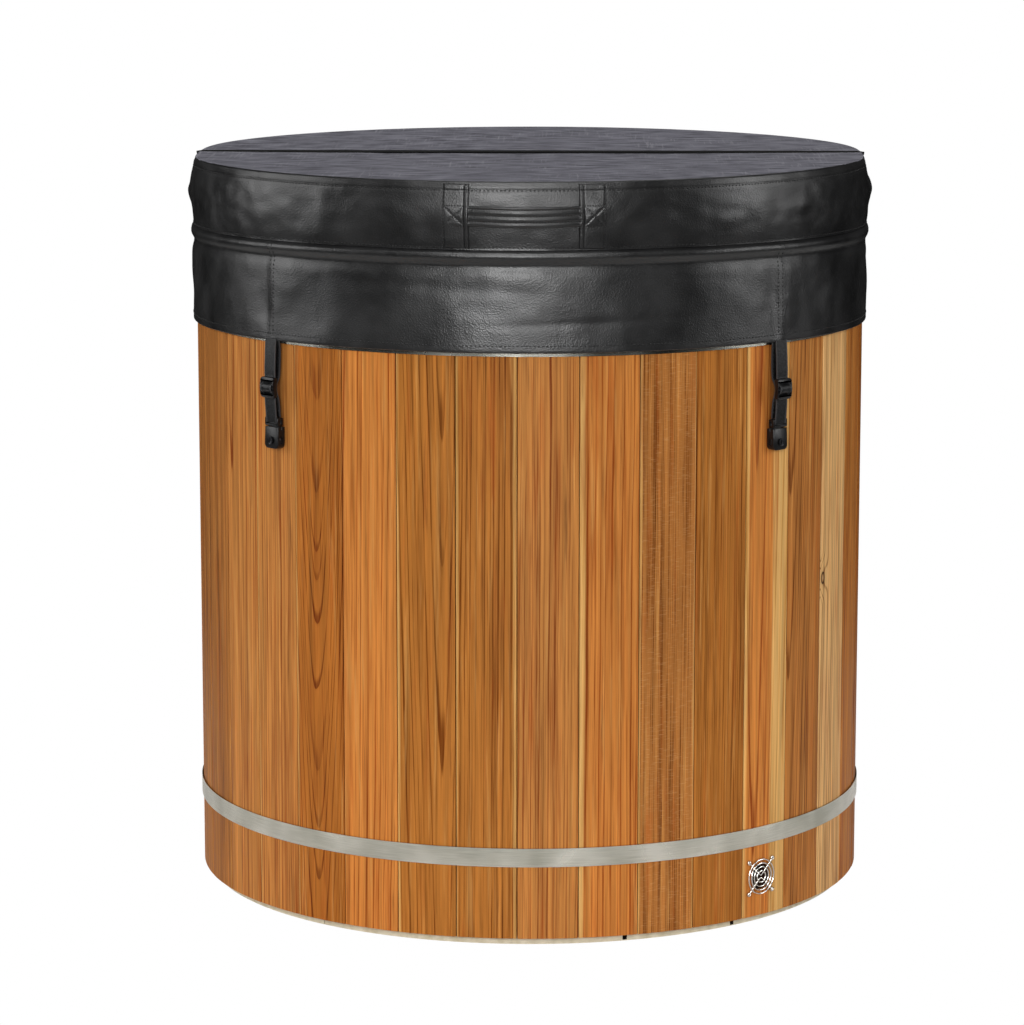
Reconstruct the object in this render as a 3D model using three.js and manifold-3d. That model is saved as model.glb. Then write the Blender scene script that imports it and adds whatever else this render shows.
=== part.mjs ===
// Round cold plunge tub of cedar staves with a folding padded cover.
// Millimetres, +Z up. The origin is the centre of the base, on the ground.
// Azimuth 0 faces -Y, the front, and grows toward +X.
import * as THREE from "three";
import { mergeVertices } from "three/addons/utils/BufferGeometryUtils.js";
import Module from "manifold-3d";

// Fits
const FIT_GAP = 0.3;
const RING_SEGMENTS = 72;
const PIPE_SEGMENTS = 16;
const WIRE_SIDES = 5;
const WELD = 1e-3;

// Staves
const STAVE_COUNT = 36;
const STAVES_PER_GROUP = 3;
const FIRST_SEAM_DEG = -1.1;
const TUB_RADIUS = 533.4;
const STAVE_THICKNESS = 32;
const STAVE_LENGTH = 1046;
const SEAM_EASE = 1.6;

// Base, bearers and floor
const BASE_HEIGHT = 12;
const BASE_INSET = 5;
const BASE_NOTCH_WIDTH = 6;
const BASE_NOTCH_DEPTH = 24;
const BASE_NOTCH_DEG = [17.2, 38];
const BEARER_WIDTH = 70;
const BEARER_HEIGHT = 115;
const BEARER_SPACING = 420;
const FLOOR_THICKNESS = 24;

// Insulation and liner
const INSULATION_WALL = 30;
const LINER_WALL = 6;
const LINER_FLOOR = 8;
const LINER_FILLET = 30;
const FLANGE_THICKNESS = 9;
const FLANGE_INSET = 6;

// Bands
const BAND_WIDTH = 28.6;
const BAND_THICKNESS = 1.5;
const LOWER_BAND_BOTTOM = 124.5;
const UPPER_BAND_BELOW_HEM = 8;
const BAND_CLOSURE_GAP = 20;
const LUG_HEIGHT = 11;
const LUG_THICKNESS = 3;
const BAND_BOLT_RADIUS = 2.5;
const BOLT_HEAD_RADIUS = 4.5;
const BOLT_HEAD_LENGTH = 5;

// Vent
const VENT_DEG = 42.9;
const VENT_HEIGHT = 74;
const VENT_HOLE_RADIUS = 20;
const GUARD_RING_RADII = [27, 21.2, 15.4, 9];
const GUARD_SCREW_SQUARE = 50;
const WIRE_RADIUS = 1;
const EYELET_RADIUS = 3.2;
const SCREW_SHANK_RADIUS = 1.7;
const SCREW_HEAD_RADIUS = 3.7;
const SCREW_HEAD_HEIGHT = 2.2;

// Drain
const DRAIN_DEG = 183;
const DRAIN_BORE_RADIUS = 11;
const DRAIN_BARREL_RADIUS = 16;
const DRAIN_FLANGE_RADIUS = 26;
const DRAIN_FLANGE_THICKNESS = 5;
const DRAIN_NUT_LENGTH = 10;
const VALVE_LENGTH = 52;
const VALVE_END_RADIUS = 18;
const VALVE_RADIUS = 22;
const VALVE_BALL_RADIUS = 14.6;
const VALVE_BALL_CLEARANCE = 0.8;
const VALVE_STEM_RADIUS = 4;
const VALVE_BOSS_RADIUS = 8;
const VALVE_BOSS_HEIGHT = 30;
const LEVER_LENGTH = 78;
const LEVER_WIDTH = 14;
const LEVER_THICKNESS = 5;

// Cover
const COVER_OVERHANG = 6.1;
const COVER_BULGE = 3.5;
const COVER_EDGE_HEIGHT = 92;
const COVER_DISH = 3;
const COVER_SEAM_RADIUS = 3;
const COVER_FOLD_GAP = 3;
const JACKET_SKIN = 2;
const ZIP_SLOT_HEIGHT = 10;
const ZIP_SLOT_LENGTH = 900;
const PIPING_WIDTH = 7;
const PIPING_HEIGHT = 3.5;

// Skirt
const SKIRT_THICKNESS = 3;
const SKIRT_DROP = 158.6;
const SKIRT_TOP_CLEARANCE = 4.6;
const SKIRT_ROLL_CLEARANCE = 7.6;
const SKIRT_ROLL_SHARE = 0.08;
const SKIRT_SIDE_CLEARANCE = 4.6;
const SKIRT_FRONT_CLEARANCE = 16.6;
const SKIRT_FOLD_COUNT = 7;
const SKIRT_FOLD_DEPTH = 1.6;
const SKIRT_SPLIT = 6;
const SKIRT_SIDE_SAG = 8;

// Handle
const HANDLE_SPAN = 172;
const HANDLE_BAND_WIDTH = 43;
const HANDLE_STRAP_HEIGHT = 30;
const HANDLE_STRAP_MIDDLE = 41;
const HANDLE_THICKNESS = 2.5;
const HANDLE_STANDOFF = 10;
const HANDLE_BAND_MARGIN = 7;

// Strap clips
const STRAP_DEGREES = { front_left: -45, front_right: 45, rear_right: 135, rear_left: -135 };
const STRAP_WIDTH = 24;
const STRAP_THICKNESS = 3.5;
const SLIDER_STANDOFF = 18;
const SLIDER_BELOW_HEM = 75;
const SLIDER_SIZE = { width: 31, depth: 8.5, height: 32 };
const CLIP_SIZE = { width: 29, depth: 10, height: 12.5 };
const CLIP_RELEASE_GAP = 1.2;
const LOCK_SIZE = { width: 31, depth: 13.5, height: 33 };
const LOCK_BELOW_HEM = 169;
const LOCK_CORNER = 4;
const KEY_RADIUS = 6;
const KEY_LENGTH = 3;
const KEY_HEIGHT = 12.5;
const KEY_SLOT = { width: 1.6, length: 7.5, depth: 1.4 };

// Levels and radii that follow from the sizes above
const STAVE_BOTTOM = BASE_HEIGHT + FIT_GAP;
const STAVE_TOP = STAVE_BOTTOM + STAVE_LENGTH;
const STAVE_INNER = TUB_RADIUS - STAVE_THICKNESS;
const FLOOR_BOTTOM = BASE_HEIGHT + BEARER_HEIGHT + 2 * FIT_GAP;
const INSULATION_BOTTOM = FLOOR_BOTTOM + FLOOR_THICKNESS + FIT_GAP;
const INSULATION_RADIUS = STAVE_INNER - FIT_GAP;
const LINER_BOTTOM = INSULATION_BOTTOM;
const LINER_RADIUS = INSULATION_RADIUS - INSULATION_WALL - FIT_GAP;
const LINER_INNER = LINER_RADIUS - LINER_WALL;
const FLANGE_BOTTOM = STAVE_TOP + FIT_GAP;
const FLANGE_TOP = FLANGE_BOTTOM + FLANGE_THICKNESS;
const COVER_BOTTOM = FLANGE_TOP + FIT_GAP;
const COVER_RIM_RADIUS = TUB_RADIUS + COVER_OVERHANG;
const SKIRT_TOP = COVER_BOTTOM - FIT_GAP;
const SKIRT_HEM_HEIGHT = SKIRT_TOP - SKIRT_DROP;
const SLIDER_HEIGHT = SKIRT_HEM_HEIGHT - SLIDER_BELOW_HEM;
const LOCK_BOTTOM = SKIRT_HEM_HEIGHT - LOCK_BELOW_HEM;
const HALF_FACET = Math.PI / RING_SEGMENTS;
const WALL_FLAT = TUB_RADIUS * Math.cos(HALF_FACET);
const DRAIN_HEIGHT = LINER_BOTTOM + LINER_FLOOR + LINER_FILLET + DRAIN_FLANGE_RADIUS + FIT_GAP;

const wasm = await Module();
wasm.setup();

const rad = THREE.MathUtils.degToRad;
const smooth = THREE.MathUtils.smoothstep;
const lerp = THREE.MathUtils.lerp;

const cedar = new THREE.MeshStandardMaterial({ color: 0xb06f3c, roughness: 0.5 });
const pine = new THREE.MeshStandardMaterial({ color: 0xcdb48a, roughness: 0.7 });
const foam = new THREE.MeshStandardMaterial({ color: 0xe8e4d8, roughness: 0.9 });
const polyethylene = new THREE.MeshStandardMaterial({ color: 0xd9dde0, roughness: 0.4 });
const stainless = new THREE.MeshStandardMaterial({ color: 0xb9b6ae, roughness: 0.35, metalness: 1 });
const wireSteel = new THREE.MeshStandardMaterial({ color: 0xd5d6d6, roughness: 0.2, metalness: 1 });
const brass = new THREE.MeshStandardMaterial({ color: 0xb08d4a, roughness: 0.3, metalness: 1 });
const blackVinyl = new THREE.MeshStandardMaterial({ color: 0x1d1d1e, roughness: 0.45 });
const greyVinyl = new THREE.MeshStandardMaterial({ color: 0x45434c, roughness: 0.7 });
const webbing = new THREE.MeshStandardMaterial({ color: 0x161617, roughness: 0.6 });
const blackPlastic = new THREE.MeshStandardMaterial({ color: 0x141415, roughness: 0.35 });

const tub = new THREE.Group();

// A closed geometry as a solid whose faces point outward.
function solid(geometry) {
  const bare = new THREE.BufferGeometry();
  bare.setAttribute("position", geometry.getAttribute("position"));
  bare.setIndex(geometry.index);
  const merged = mergeVertices(bare, WELD);
  const corners = merged.index.array;
  const outward = [];
  const inward = [];
  for (let i = 0; i < corners.length; i += 3) {
    const [a, b, c] = corners.slice(i, i + 3);
    if (a !== b && b !== c && c !== a) {
      outward.push(a, b, c);
      inward.push(a, c, b);
    }
  }
  const vertProperties = merged.getAttribute("position").array;
  const wound = (order) => new wasm.Manifold(new wasm.Mesh({
    numProp: 3,
    vertProperties,
    triVerts: new Uint32Array(order),
  }));
  const made = wound(outward);
  return made.volume() > 0 ? made : wound(inward);
}

// Adds a named mesh of a solid, turned about the tub's axis to its azimuth.
function addPiece(name, body, finish, azimuth = 0) {
  const { vertProperties, triVerts } = body.getMesh();
  const geometry = new THREE.BufferGeometry();
  geometry.setAttribute("position", new THREE.BufferAttribute(vertProperties, 3));
  geometry.setIndex(new THREE.BufferAttribute(triVerts, 1));
  geometry.computeVertexNormals();
  const mesh = new THREE.Mesh(geometry, finish);
  mesh.name = name;
  mesh.rotation.z = rad(azimuth);
  tub.add(mesh);
}

function polar(azimuth, radius, height) {
  return [radius * Math.sin(azimuth), -radius * Math.cos(azimuth), height];
}

// A solid of revolution about the tub's axis, from [radius, height] points.
function turned(profile) {
  const points = profile.map(([radius, height]) => new THREE.Vector2(radius, height));
  const geometry = new THREE.LatheGeometry(points, RING_SEGMENTS, rad(FIRST_SEAM_DEG));
  return solid(geometry.rotateX(Math.PI / 2));
}

// A solid of revolution about a level axis through the front, from [radius, distance out] points.
function turnedOutward(profile, height, sideways = 0) {
  const points = profile.map(([radius, outward]) => new THREE.Vector2(radius, outward));
  const geometry = new THREE.LatheGeometry(points, PIPE_SEGMENTS);
  return solid(geometry.rotateZ(Math.PI).translate(sideways, 0, height));
}

function ring(inner, outer, bottom, top) {
  return [[inner, bottom], [outer, bottom], [outer, top], [inner, top], [inner, bottom]];
}

function quarterArc(centreRadius, centreHeight, radius) {
  const steps = 2;
  return Array.from({ length: steps + 1 }, (_, i) => {
    const angle = (Math.PI / 2) * (i / steps);
    return [centreRadius + radius * Math.sin(angle), centreHeight - radius * Math.cos(angle)];
  });
}

function box(width, depth, height, x, y, z) {
  return solid(new THREE.BoxGeometry(width, depth, height).translate(x, y, z));
}

function upright(radius, bottom, top, x, y) {
  const geometry = new THREE.CylinderGeometry(radius, radius, top - bottom, PIPE_SEGMENTS);
  return solid(geometry.rotateX(Math.PI / 2).translate(x, y, (bottom + top) / 2));
}

function extruded(points, depth) {
  const outline = new THREE.Shape(points.map(([x, y]) => new THREE.Vector2(x, y)));
  return new THREE.ExtrudeGeometry(outline, { depth, bevelEnabled: false });
}

// A box cut into cells, with each of its points carried to where place(u, v, w) says, u, v, w from 0 to 1.
function shapedBox(cellsU, cellsV, place) {
  const geometry = new THREE.BoxGeometry(1, 1, 1, cellsU, cellsV, 1).translate(0.5, 0.5, 0.5);
  const points = geometry.getAttribute("position");
  for (let i = 0; i < points.count; i += 1) {
    points.setXYZ(i, ...place(points.getX(i), points.getY(i), points.getZ(i)));
  }
  return solid(geometry);
}

// Base panel with two drain notches through its edge
function basePanel() {
  const radius = TUB_RADIUS - BASE_INSET;
  let panel = turned([[0, 0], [radius, 0], [radius, BASE_HEIGHT], [0, BASE_HEIGHT]]);
  for (const degrees of BASE_NOTCH_DEG) {
    const notch = new THREE.BoxGeometry(BASE_NOTCH_WIDTH, 2 * BASE_NOTCH_DEPTH, 3 * BASE_HEIGHT);
    notch.translate(0, -radius, 0).rotateZ(rad(degrees));
    panel = panel.subtract(solid(notch));
  }
  addPiece("base_panel", panel, pine);
}

// Two bearers on the base carry the floor board, and leave a vented space below it
function floor() {
  const radius = STAVE_INNER - FIT_GAP;
  const bearerEdge = BEARER_SPACING / 2 + BEARER_WIDTH / 2;
  const bearerLength = 2 * Math.sqrt((radius * Math.cos(HALF_FACET)) ** 2 - bearerEdge ** 2);
  const middle = STAVE_BOTTOM + BEARER_HEIGHT / 2;
  for (const [side, sign] of [["left", -1], ["right", 1]]) {
    const place = [sign * BEARER_SPACING / 2, 0, middle];
    addPiece(`floor_bearer_${side}`, box(BEARER_WIDTH, bearerLength, BEARER_HEIGHT, ...place), pine);
  }
  const top = FLOOR_BOTTOM + FLOOR_THICKNESS;
  addPiece("floor_board", turned([[0, FLOOR_BOTTOM], [radius, FLOOR_BOTTOM], [radius, top], [0, top]]), pine);
}

// Staves with eased edges along each seam, in joined groups, with the vent and drain holes
function staves() {
  const pitch = 360 / STAVE_COUNT;
  const easeAngle = SEAM_EASE / TUB_RADIUS;
  const gapAngle = FIT_GAP / 2 / TUB_RADIUS;
  const ventHole = turnedOutward(drilling(VENT_HOLE_RADIUS), VENT_HEIGHT);
  const drainHole = turnedOutward(drilling(DRAIN_BARREL_RADIUS + FIT_GAP), DRAIN_HEIGHT);
  const groups = STAVE_COUNT / STAVES_PER_GROUP;
  for (let group = 0; group < groups; group += 1) {
    const first = FIRST_SEAM_DEG + group * STAVES_PER_GROUP * pitch;
    const last = first + STAVES_PER_GROUP * pitch;
    const plan = [];
    for (let i = 0; i < STAVES_PER_GROUP; i += 1) {
      const from = rad(first + i * pitch) + (i === 0 ? gapAngle : 0);
      const to = rad(first + (i + 1) * pitch) - (i === STAVES_PER_GROUP - 1 ? gapAngle : 0);
      plan.push(polar(from, TUB_RADIUS - SEAM_EASE, 0));
      plan.push(polar(from + easeAngle, TUB_RADIUS, 0));
      plan.push(polar((from + to) / 2, TUB_RADIUS, 0));
      plan.push(polar(to - easeAngle, TUB_RADIUS, 0));
    }
    plan.push(polar(rad(last) - gapAngle, TUB_RADIUS - SEAM_EASE, 0));
    const halves = 2 * STAVES_PER_GROUP;
    for (let i = halves; i >= 0; i -= 1) {
      const inside = rad(lerp(first, last, i / halves));
      const edge = i === halves ? -gapAngle : i === 0 ? gapAngle : 0;
      plan.push(polar(inside + edge, STAVE_INNER, 0));
    }
    let staveGroup = solid(extruded(plan, STAVE_LENGTH).translate(0, 0, STAVE_BOTTOM));
    if (VENT_DEG > first && VENT_DEG < last) staveGroup = staveGroup.subtract(turn(ventHole, VENT_DEG));
    if (DRAIN_DEG > first && DRAIN_DEG < last) staveGroup = staveGroup.subtract(turn(drainHole, DRAIN_DEG));
    const number = String(group + 1).padStart(2, "0");
    addPiece(`stave_group_${number}`, staveGroup, cedar);
  }
}

// A drill's outline, long enough to pass through the whole wall of the tub
function drilling(radius) {
  const inside = LINER_INNER / 2;
  const outside = TUB_RADIUS + STAVE_THICKNESS;
  return [[0, inside], [radius, inside], [radius, outside], [0, outside]];
}

// A solid turned about the tub's axis.
function turn(body, degrees) {
  const { vertProperties, triVerts } = body.getMesh();
  const geometry = new THREE.BufferGeometry();
  geometry.setAttribute("position", new THREE.BufferAttribute(vertProperties, 3));
  geometry.setIndex(new THREE.BufferAttribute(triVerts, 1));
  return solid(geometry.rotateZ(rad(degrees)));
}

// Foam jacket round the liner, standing on the floor board and notched over the drain
function insulation() {
  const inner = INSULATION_RADIUS - INSULATION_WALL;
  const jacket = turned(ring(inner, INSULATION_RADIUS, INSULATION_BOTTOM, STAVE_TOP));
  const notchWidth = 2 * (DRAIN_BARREL_RADIUS + FIT_GAP);
  const notchHeight = 2 * (DRAIN_HEIGHT + notchWidth / 2 - INSULATION_BOTTOM);
  const notch = box(notchWidth, 4 * INSULATION_WALL, notchHeight, 0, -INSULATION_RADIUS, INSULATION_BOTTOM);
  addPiece("insulation_jacket", jacket.subtract(turn(notch, DRAIN_DEG)), foam);
}

// Moulded liner that holds the water, with a flange over the stave tops
function liner() {
  const floorTop = LINER_BOTTOM + LINER_FLOOR;
  const flangeRadius = TUB_RADIUS - FLANGE_INSET;
  const outerCentre = LINER_RADIUS - LINER_FILLET;
  const innerCentre = LINER_INNER - LINER_FILLET;
  const shell = turned([
    [0, LINER_BOTTOM],
    ...quarterArc(outerCentre, LINER_BOTTOM + LINER_FILLET, LINER_FILLET),
    [LINER_RADIUS, FLANGE_BOTTOM],
    [flangeRadius, FLANGE_BOTTOM],
    [flangeRadius, FLANGE_TOP],
    [LINER_INNER, FLANGE_TOP],
    ...quarterArc(innerCentre, floorTop + LINER_FILLET, LINER_FILLET).reverse(),
    [0, floorTop],
  ]);
  const hole = turn(turnedOutward(drilling(DRAIN_BARREL_RADIUS + FIT_GAP), DRAIN_HEIGHT), DRAIN_DEG);
  addPiece("liner", shell.subtract(hole), polyethylene);
}

// A steel band drawn tight by a bolt through two lugs at the back
function band(name, bottom) {
  const inner = TUB_RADIUS + FIT_GAP;
  const top = bottom + BAND_WIDTH;
  const middle = (bottom + top) / 2;
  const lugMiddle = inner + LUG_HEIGHT / 2;
  const boltOut = inner + LUG_HEIGHT - BOLT_HEAD_RADIUS;
  const lugX = BAND_CLOSURE_GAP / 2 + LUG_THICKNESS / 2;
  let strip = turned(ring(inner, inner + BAND_THICKNESS, bottom, top));
  strip = strip.subtract(box(BAND_CLOSURE_GAP, 4 * LUG_HEIGHT, 2 * BAND_WIDTH, 0, inner, middle));
  for (const sign of [-1, 1]) {
    strip = strip.add(box(LUG_THICKNESS, LUG_HEIGHT, BAND_WIDTH, sign * lugX, lugMiddle, middle));
  }
  const reach = BAND_CLOSURE_GAP / 2 + LUG_THICKNESS + FIT_GAP;
  const shank = level(BAND_BOLT_RADIUS, 2 * reach + BOLT_HEAD_LENGTH, 0, boltOut, middle);
  const drill = level(BAND_BOLT_RADIUS + FIT_GAP, 4 * reach, 0, boltOut, middle);
  const headX = reach + BOLT_HEAD_LENGTH / 2;
  const head = level(BOLT_HEAD_RADIUS, BOLT_HEAD_LENGTH, headX, boltOut, middle);
  const nut = level(BOLT_HEAD_RADIUS, BOLT_HEAD_LENGTH, -headX, boltOut, middle);
  addPiece(name, strip.subtract(drill), stainless);
  addPiece(`${name}_bolt`, shank.add(head).add(nut), stainless);
}

// A round bar that lies along X.
function level(radius, length, x, y, z) {
  const geometry = new THREE.CylinderGeometry(radius, radius, length, PIPE_SEGMENTS / 2);
  return solid(geometry.rotateZ(Math.PI / 2).translate(x, y, z));
}

// Wire guard over the vent: rings welded on two hairpin arms that end in eyelets, and its screws
function vent() {
  const armOut = TUB_RADIUS + FIT_GAP + WIRE_RADIUS;
  const ringOut = armOut + WIRE_RADIUS;
  const corner = GUARD_SCREW_SQUARE / 2;
  const wireRing = (radius, steps, x, out, z) => {
    const geometry = new THREE.TorusGeometry(radius, WIRE_RADIUS, WIRE_SIDES, steps);
    return solid(geometry.rotateX(Math.PI / 2).translate(x, -out, VENT_HEIGHT + z));
  };
  const section = new THREE.Shape(new THREE.Path().absarc(0, 0, WIRE_RADIUS, 0, 2 * Math.PI).getPoints(WIRE_SIDES));
  const innermost = GUARD_RING_RADII[GUARD_RING_RADII.length - 1];
  let guard = null;
  for (const sign of [1, -1]) {
    const eyeletEdge = corner - EYELET_RADIUS * Math.SQRT1_2;
    const bend = innermost / 2;
    const route = [
      [-eyeletEdge, eyeletEdge],
      [-corner / 2, corner / 2],
      [-bend, bend * 0.8],
      [0, bend * 0.4],
      [bend, bend * 0.8],
      [corner / 2, corner / 2],
      [eyeletEdge, eyeletEdge],
    ];
    const points = route.map(([x, z]) => new THREE.Vector3(x, -armOut, VENT_HEIGHT + sign * z));
    const path = new THREE.CatmullRomCurve3(points);
    const arm = solid(new THREE.ExtrudeGeometry(section, { extrudePath: path, steps: PIPE_SEGMENTS }));
    guard = guard ? guard.add(arm) : arm;
    guard = guard.add(wireRing(EYELET_RADIUS, PIPE_SEGMENTS / 2, -corner, armOut, sign * corner));
    guard = guard.add(wireRing(EYELET_RADIUS, PIPE_SEGMENTS / 2, corner, armOut, sign * corner));
  }
  for (const radius of GUARD_RING_RADII) {
    guard = guard.add(wireRing(radius, PIPE_SEGMENTS, 0, ringOut, 0));
  }
  addPiece("vent_guard", guard, wireSteel, VENT_DEG);
  const shankFoot = TUB_RADIUS + FIT_GAP;
  const headFoot = armOut + WIRE_RADIUS + FIT_GAP;
  const screw = [
    [0, shankFoot],
    [SCREW_SHANK_RADIUS, shankFoot],
    [SCREW_SHANK_RADIUS, headFoot],
    [SCREW_HEAD_RADIUS, headFoot],
    [SCREW_HEAD_RADIUS * 0.85, headFoot + SCREW_HEAD_HEIGHT * 0.55],
    [SCREW_HEAD_RADIUS * 0.5, headFoot + SCREW_HEAD_HEIGHT * 0.9],
    [0, headFoot + SCREW_HEAD_HEIGHT],
  ];
  let number = 0;
  for (const z of [corner, -corner]) {
    for (const x of [-corner, corner]) {
      number += 1;
      addPiece(`vent_screw_${number}`, turnedOutward(screw, VENT_HEIGHT + z, x), stainless, VENT_DEG);
    }
  }
}

// Drain through the wall near the liner's floor, closed by a ball valve at the back
function drain() {
  const flangeBack = Math.sqrt((LINER_INNER * Math.cos(HALF_FACET)) ** 2 - DRAIN_FLANGE_RADIUS ** 2) - FIT_GAP;
  const flangeFront = flangeBack - DRAIN_FLANGE_THICKNESS;
  const nutFoot = TUB_RADIUS + FIT_GAP;
  const nutEnd = nutFoot + DRAIN_NUT_LENGTH;
  const valveFoot = nutEnd + FIT_GAP;
  const valveEnd = valveFoot + VALVE_LENGTH;
  const ballOut = (valveFoot + valveEnd) / 2;
  const shoulder = VALVE_LENGTH / 5;
  const fitting = turnedOutward([
    [DRAIN_BORE_RADIUS, flangeFront],
    [DRAIN_FLANGE_RADIUS, flangeFront],
    [DRAIN_FLANGE_RADIUS, flangeBack],
    [DRAIN_BARREL_RADIUS, flangeBack],
    [DRAIN_BARREL_RADIUS, nutEnd],
    [DRAIN_BORE_RADIUS, nutEnd],
    [DRAIN_BORE_RADIUS, flangeFront],
  ], DRAIN_HEIGHT);
  const nut = turnedOutward(ring(DRAIN_BARREL_RADIUS + FIT_GAP, DRAIN_FLANGE_RADIUS, nutFoot, nutEnd), DRAIN_HEIGHT);
  const casting = turnedOutward([
    [DRAIN_BORE_RADIUS, valveFoot],
    [VALVE_END_RADIUS, valveFoot],
    [VALVE_END_RADIUS, valveFoot + shoulder],
    [VALVE_RADIUS, valveFoot + 1.5 * shoulder],
    [VALVE_RADIUS, valveEnd - 1.5 * shoulder],
    [VALVE_END_RADIUS, valveEnd - shoulder],
    [VALVE_END_RADIUS, valveEnd],
    [DRAIN_BORE_RADIUS, valveEnd],
    [DRAIN_BORE_RADIUS, valveFoot],
  ], DRAIN_HEIGHT);
  const ball = (radius) => {
    const geometry = new THREE.SphereGeometry(radius, PIPE_SEGMENTS, PIPE_SEGMENTS / 2);
    return solid(geometry.translate(0, -ballOut, DRAIN_HEIGHT));
  };
  const bossTop = DRAIN_HEIGHT + VALVE_BOSS_HEIGHT;
  const boss = upright(VALVE_BOSS_RADIUS, DRAIN_HEIGHT + VALVE_BALL_RADIUS, bossTop, 0, -ballOut);
  const stemHole = upright(VALVE_STEM_RADIUS + FIT_GAP, DRAIN_HEIGHT, bossTop + VALVE_BOSS_HEIGHT, 0, -ballOut);
  const valve = casting.add(boss).subtract(ball(VALVE_BALL_RADIUS + VALVE_BALL_CLEARANCE)).subtract(stemHole);
  const leverBottom = bossTop + FIT_GAP;
  const stem = upright(VALVE_STEM_RADIUS, DRAIN_HEIGHT, leverBottom + LEVER_THICKNESS, 0, -ballOut);
  const ballBore = level(DRAIN_BORE_RADIUS, 4 * VALVE_BALL_RADIUS, 0, -ballOut, DRAIN_HEIGHT);
  const bar = new THREE.Shape();
  bar.absarc(0, 0, LEVER_WIDTH / 2, Math.PI / 2, -Math.PI / 2, true);
  bar.absarc(-LEVER_LENGTH, 0, LEVER_WIDTH / 2, -Math.PI / 2, -1.5 * Math.PI, true);
  const grip = new THREE.ExtrudeGeometry(bar, { depth: LEVER_THICKNESS, bevelEnabled: false, curveSegments: 8 });
  const plug = ball(VALVE_BALL_RADIUS).subtract(ballBore);
  const lever = solid(grip.translate(0, -ballOut, leverBottom)).add(stem.subtract(ballBore)).add(plug);
  addPiece("drain_fitting", fitting, brass, DRAIN_DEG);
  addPiece("drain_nut", nut, brass, DRAIN_DEG);
  addPiece("drain_valve_body", valve, brass, DRAIN_DEG);
  addPiece("drain_valve_lever", lever, blackPlastic, DRAIN_DEG);
}

// Radius of the cover's padded side at a height above its lower seam
function coverSide(height) {
  return COVER_RIM_RADIUS + COVER_BULGE * Math.sin(Math.PI * THREE.MathUtils.clamp(height / COVER_EDGE_HEIGHT, 0, 1));
}

// Height of the cover's slightly dished top above its lower seam, at a distance from the middle
function coverTop(distance) {
  return COVER_EDGE_HEIGHT - COVER_DISH * (1 - (distance / COVER_RIM_RADIUS) ** 2);
}

// One padded half of the cover, set back by the same amount from the outer form on every side
function coverHalf(setBack, sideSteps, topSteps) {
  const profile = [[0, setBack], [COVER_RIM_RADIUS - COVER_SEAM_RADIUS - setBack, setBack]];
  for (let i = 1; i < sideSteps; i += 1) {
    const height = COVER_EDGE_HEIGHT * (i / sideSteps);
    profile.push([coverSide(height) - setBack, height]);
  }
  for (let i = 0; i <= topSteps; i += 1) {
    const distance = (COVER_RIM_RADIUS - COVER_SEAM_RADIUS) * (1 - i / topSteps);
    profile.push([Math.max(distance - setBack, 0), coverTop(distance) - setBack]);
  }
  const disc = turned(profile.map(([radius, height]) => [radius, height + COVER_BOTTOM]));
  const reach = 2 * COVER_RIM_RADIUS;
  const face = COVER_FOLD_GAP / 2 + setBack;
  return disc.intersect(box(2 * reach, reach, 2 * reach, 0, -face - reach / 2, COVER_BOTTOM));
}

// Vinyl jackets with a zip slot in the fold face, and the foam cores inside them
function cover() {
  const zipMiddle = COVER_BOTTOM + COVER_EDGE_HEIGHT / 2;
  const zip = box(ZIP_SLOT_LENGTH, 4 * JACKET_SKIN + COVER_FOLD_GAP, ZIP_SLOT_HEIGHT, 0, 0, zipMiddle);
  const jacket = coverHalf(0, 8, 4).subtract(coverHalf(JACKET_SKIN, 4, 2)).subtract(zip);
  const core = coverHalf(JACKET_SKIN + FIT_GAP, 4, 2);
  for (const [side, azimuth] of [["front", 0], ["rear", 180]]) {
    addPiece(`cover_${side}_jacket`, jacket, greyVinyl, azimuth);
    addPiece(`cover_${side}_core`, core, foam, azimuth);
  }
  const halfLength = COVER_RIM_RADIUS - 2 * COVER_SEAM_RADIUS;
  const piping = shapedBox(16, 3, (u, v, w) => {
    const x = lerp(-halfLength, halfLength, u);
    const y = COVER_FOLD_GAP / 2 + PIPING_WIDTH * v;
    const round = Math.sqrt(1 - 0.8 * (2 * v - 1) ** 2);
    return [x, y, COVER_BOTTOM + coverTop(Math.hypot(x, y)) + FIT_GAP + PIPING_HEIGHT * round * w];
  });
  addPiece("fold_piping", piping, blackVinyl);
}

// Radius of the hanging skirt: tucked in at the top, rolled out below it, then in gentle folds to the hem
function skirtRadius(azimuth, drop) {
  const hem = lerp(SKIRT_SIDE_CLEARANCE, SKIRT_FRONT_CLEARANCE, Math.cos(azimuth) ** 2);
  const tuck = (SKIRT_ROLL_CLEARANCE - SKIRT_TOP_CLEARANCE) * Math.max(1 - drop / SKIRT_ROLL_SHARE, 0) ** 2;
  const folds = SKIRT_FOLD_DEPTH * Math.sin(SKIRT_FOLD_COUNT * azimuth + 3 * drop) * Math.sin(Math.PI * drop);
  return TUB_RADIUS + lerp(SKIRT_ROLL_CLEARANCE, hem, drop) - tuck + folds;
}

// Height of the skirt's hem, which sags a little where the two skirts meet
function hemHeight(azimuth) {
  return SKIRT_HEM_HEIGHT - SKIRT_SIDE_SAG * Math.sin(azimuth) ** 4;
}

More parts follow.
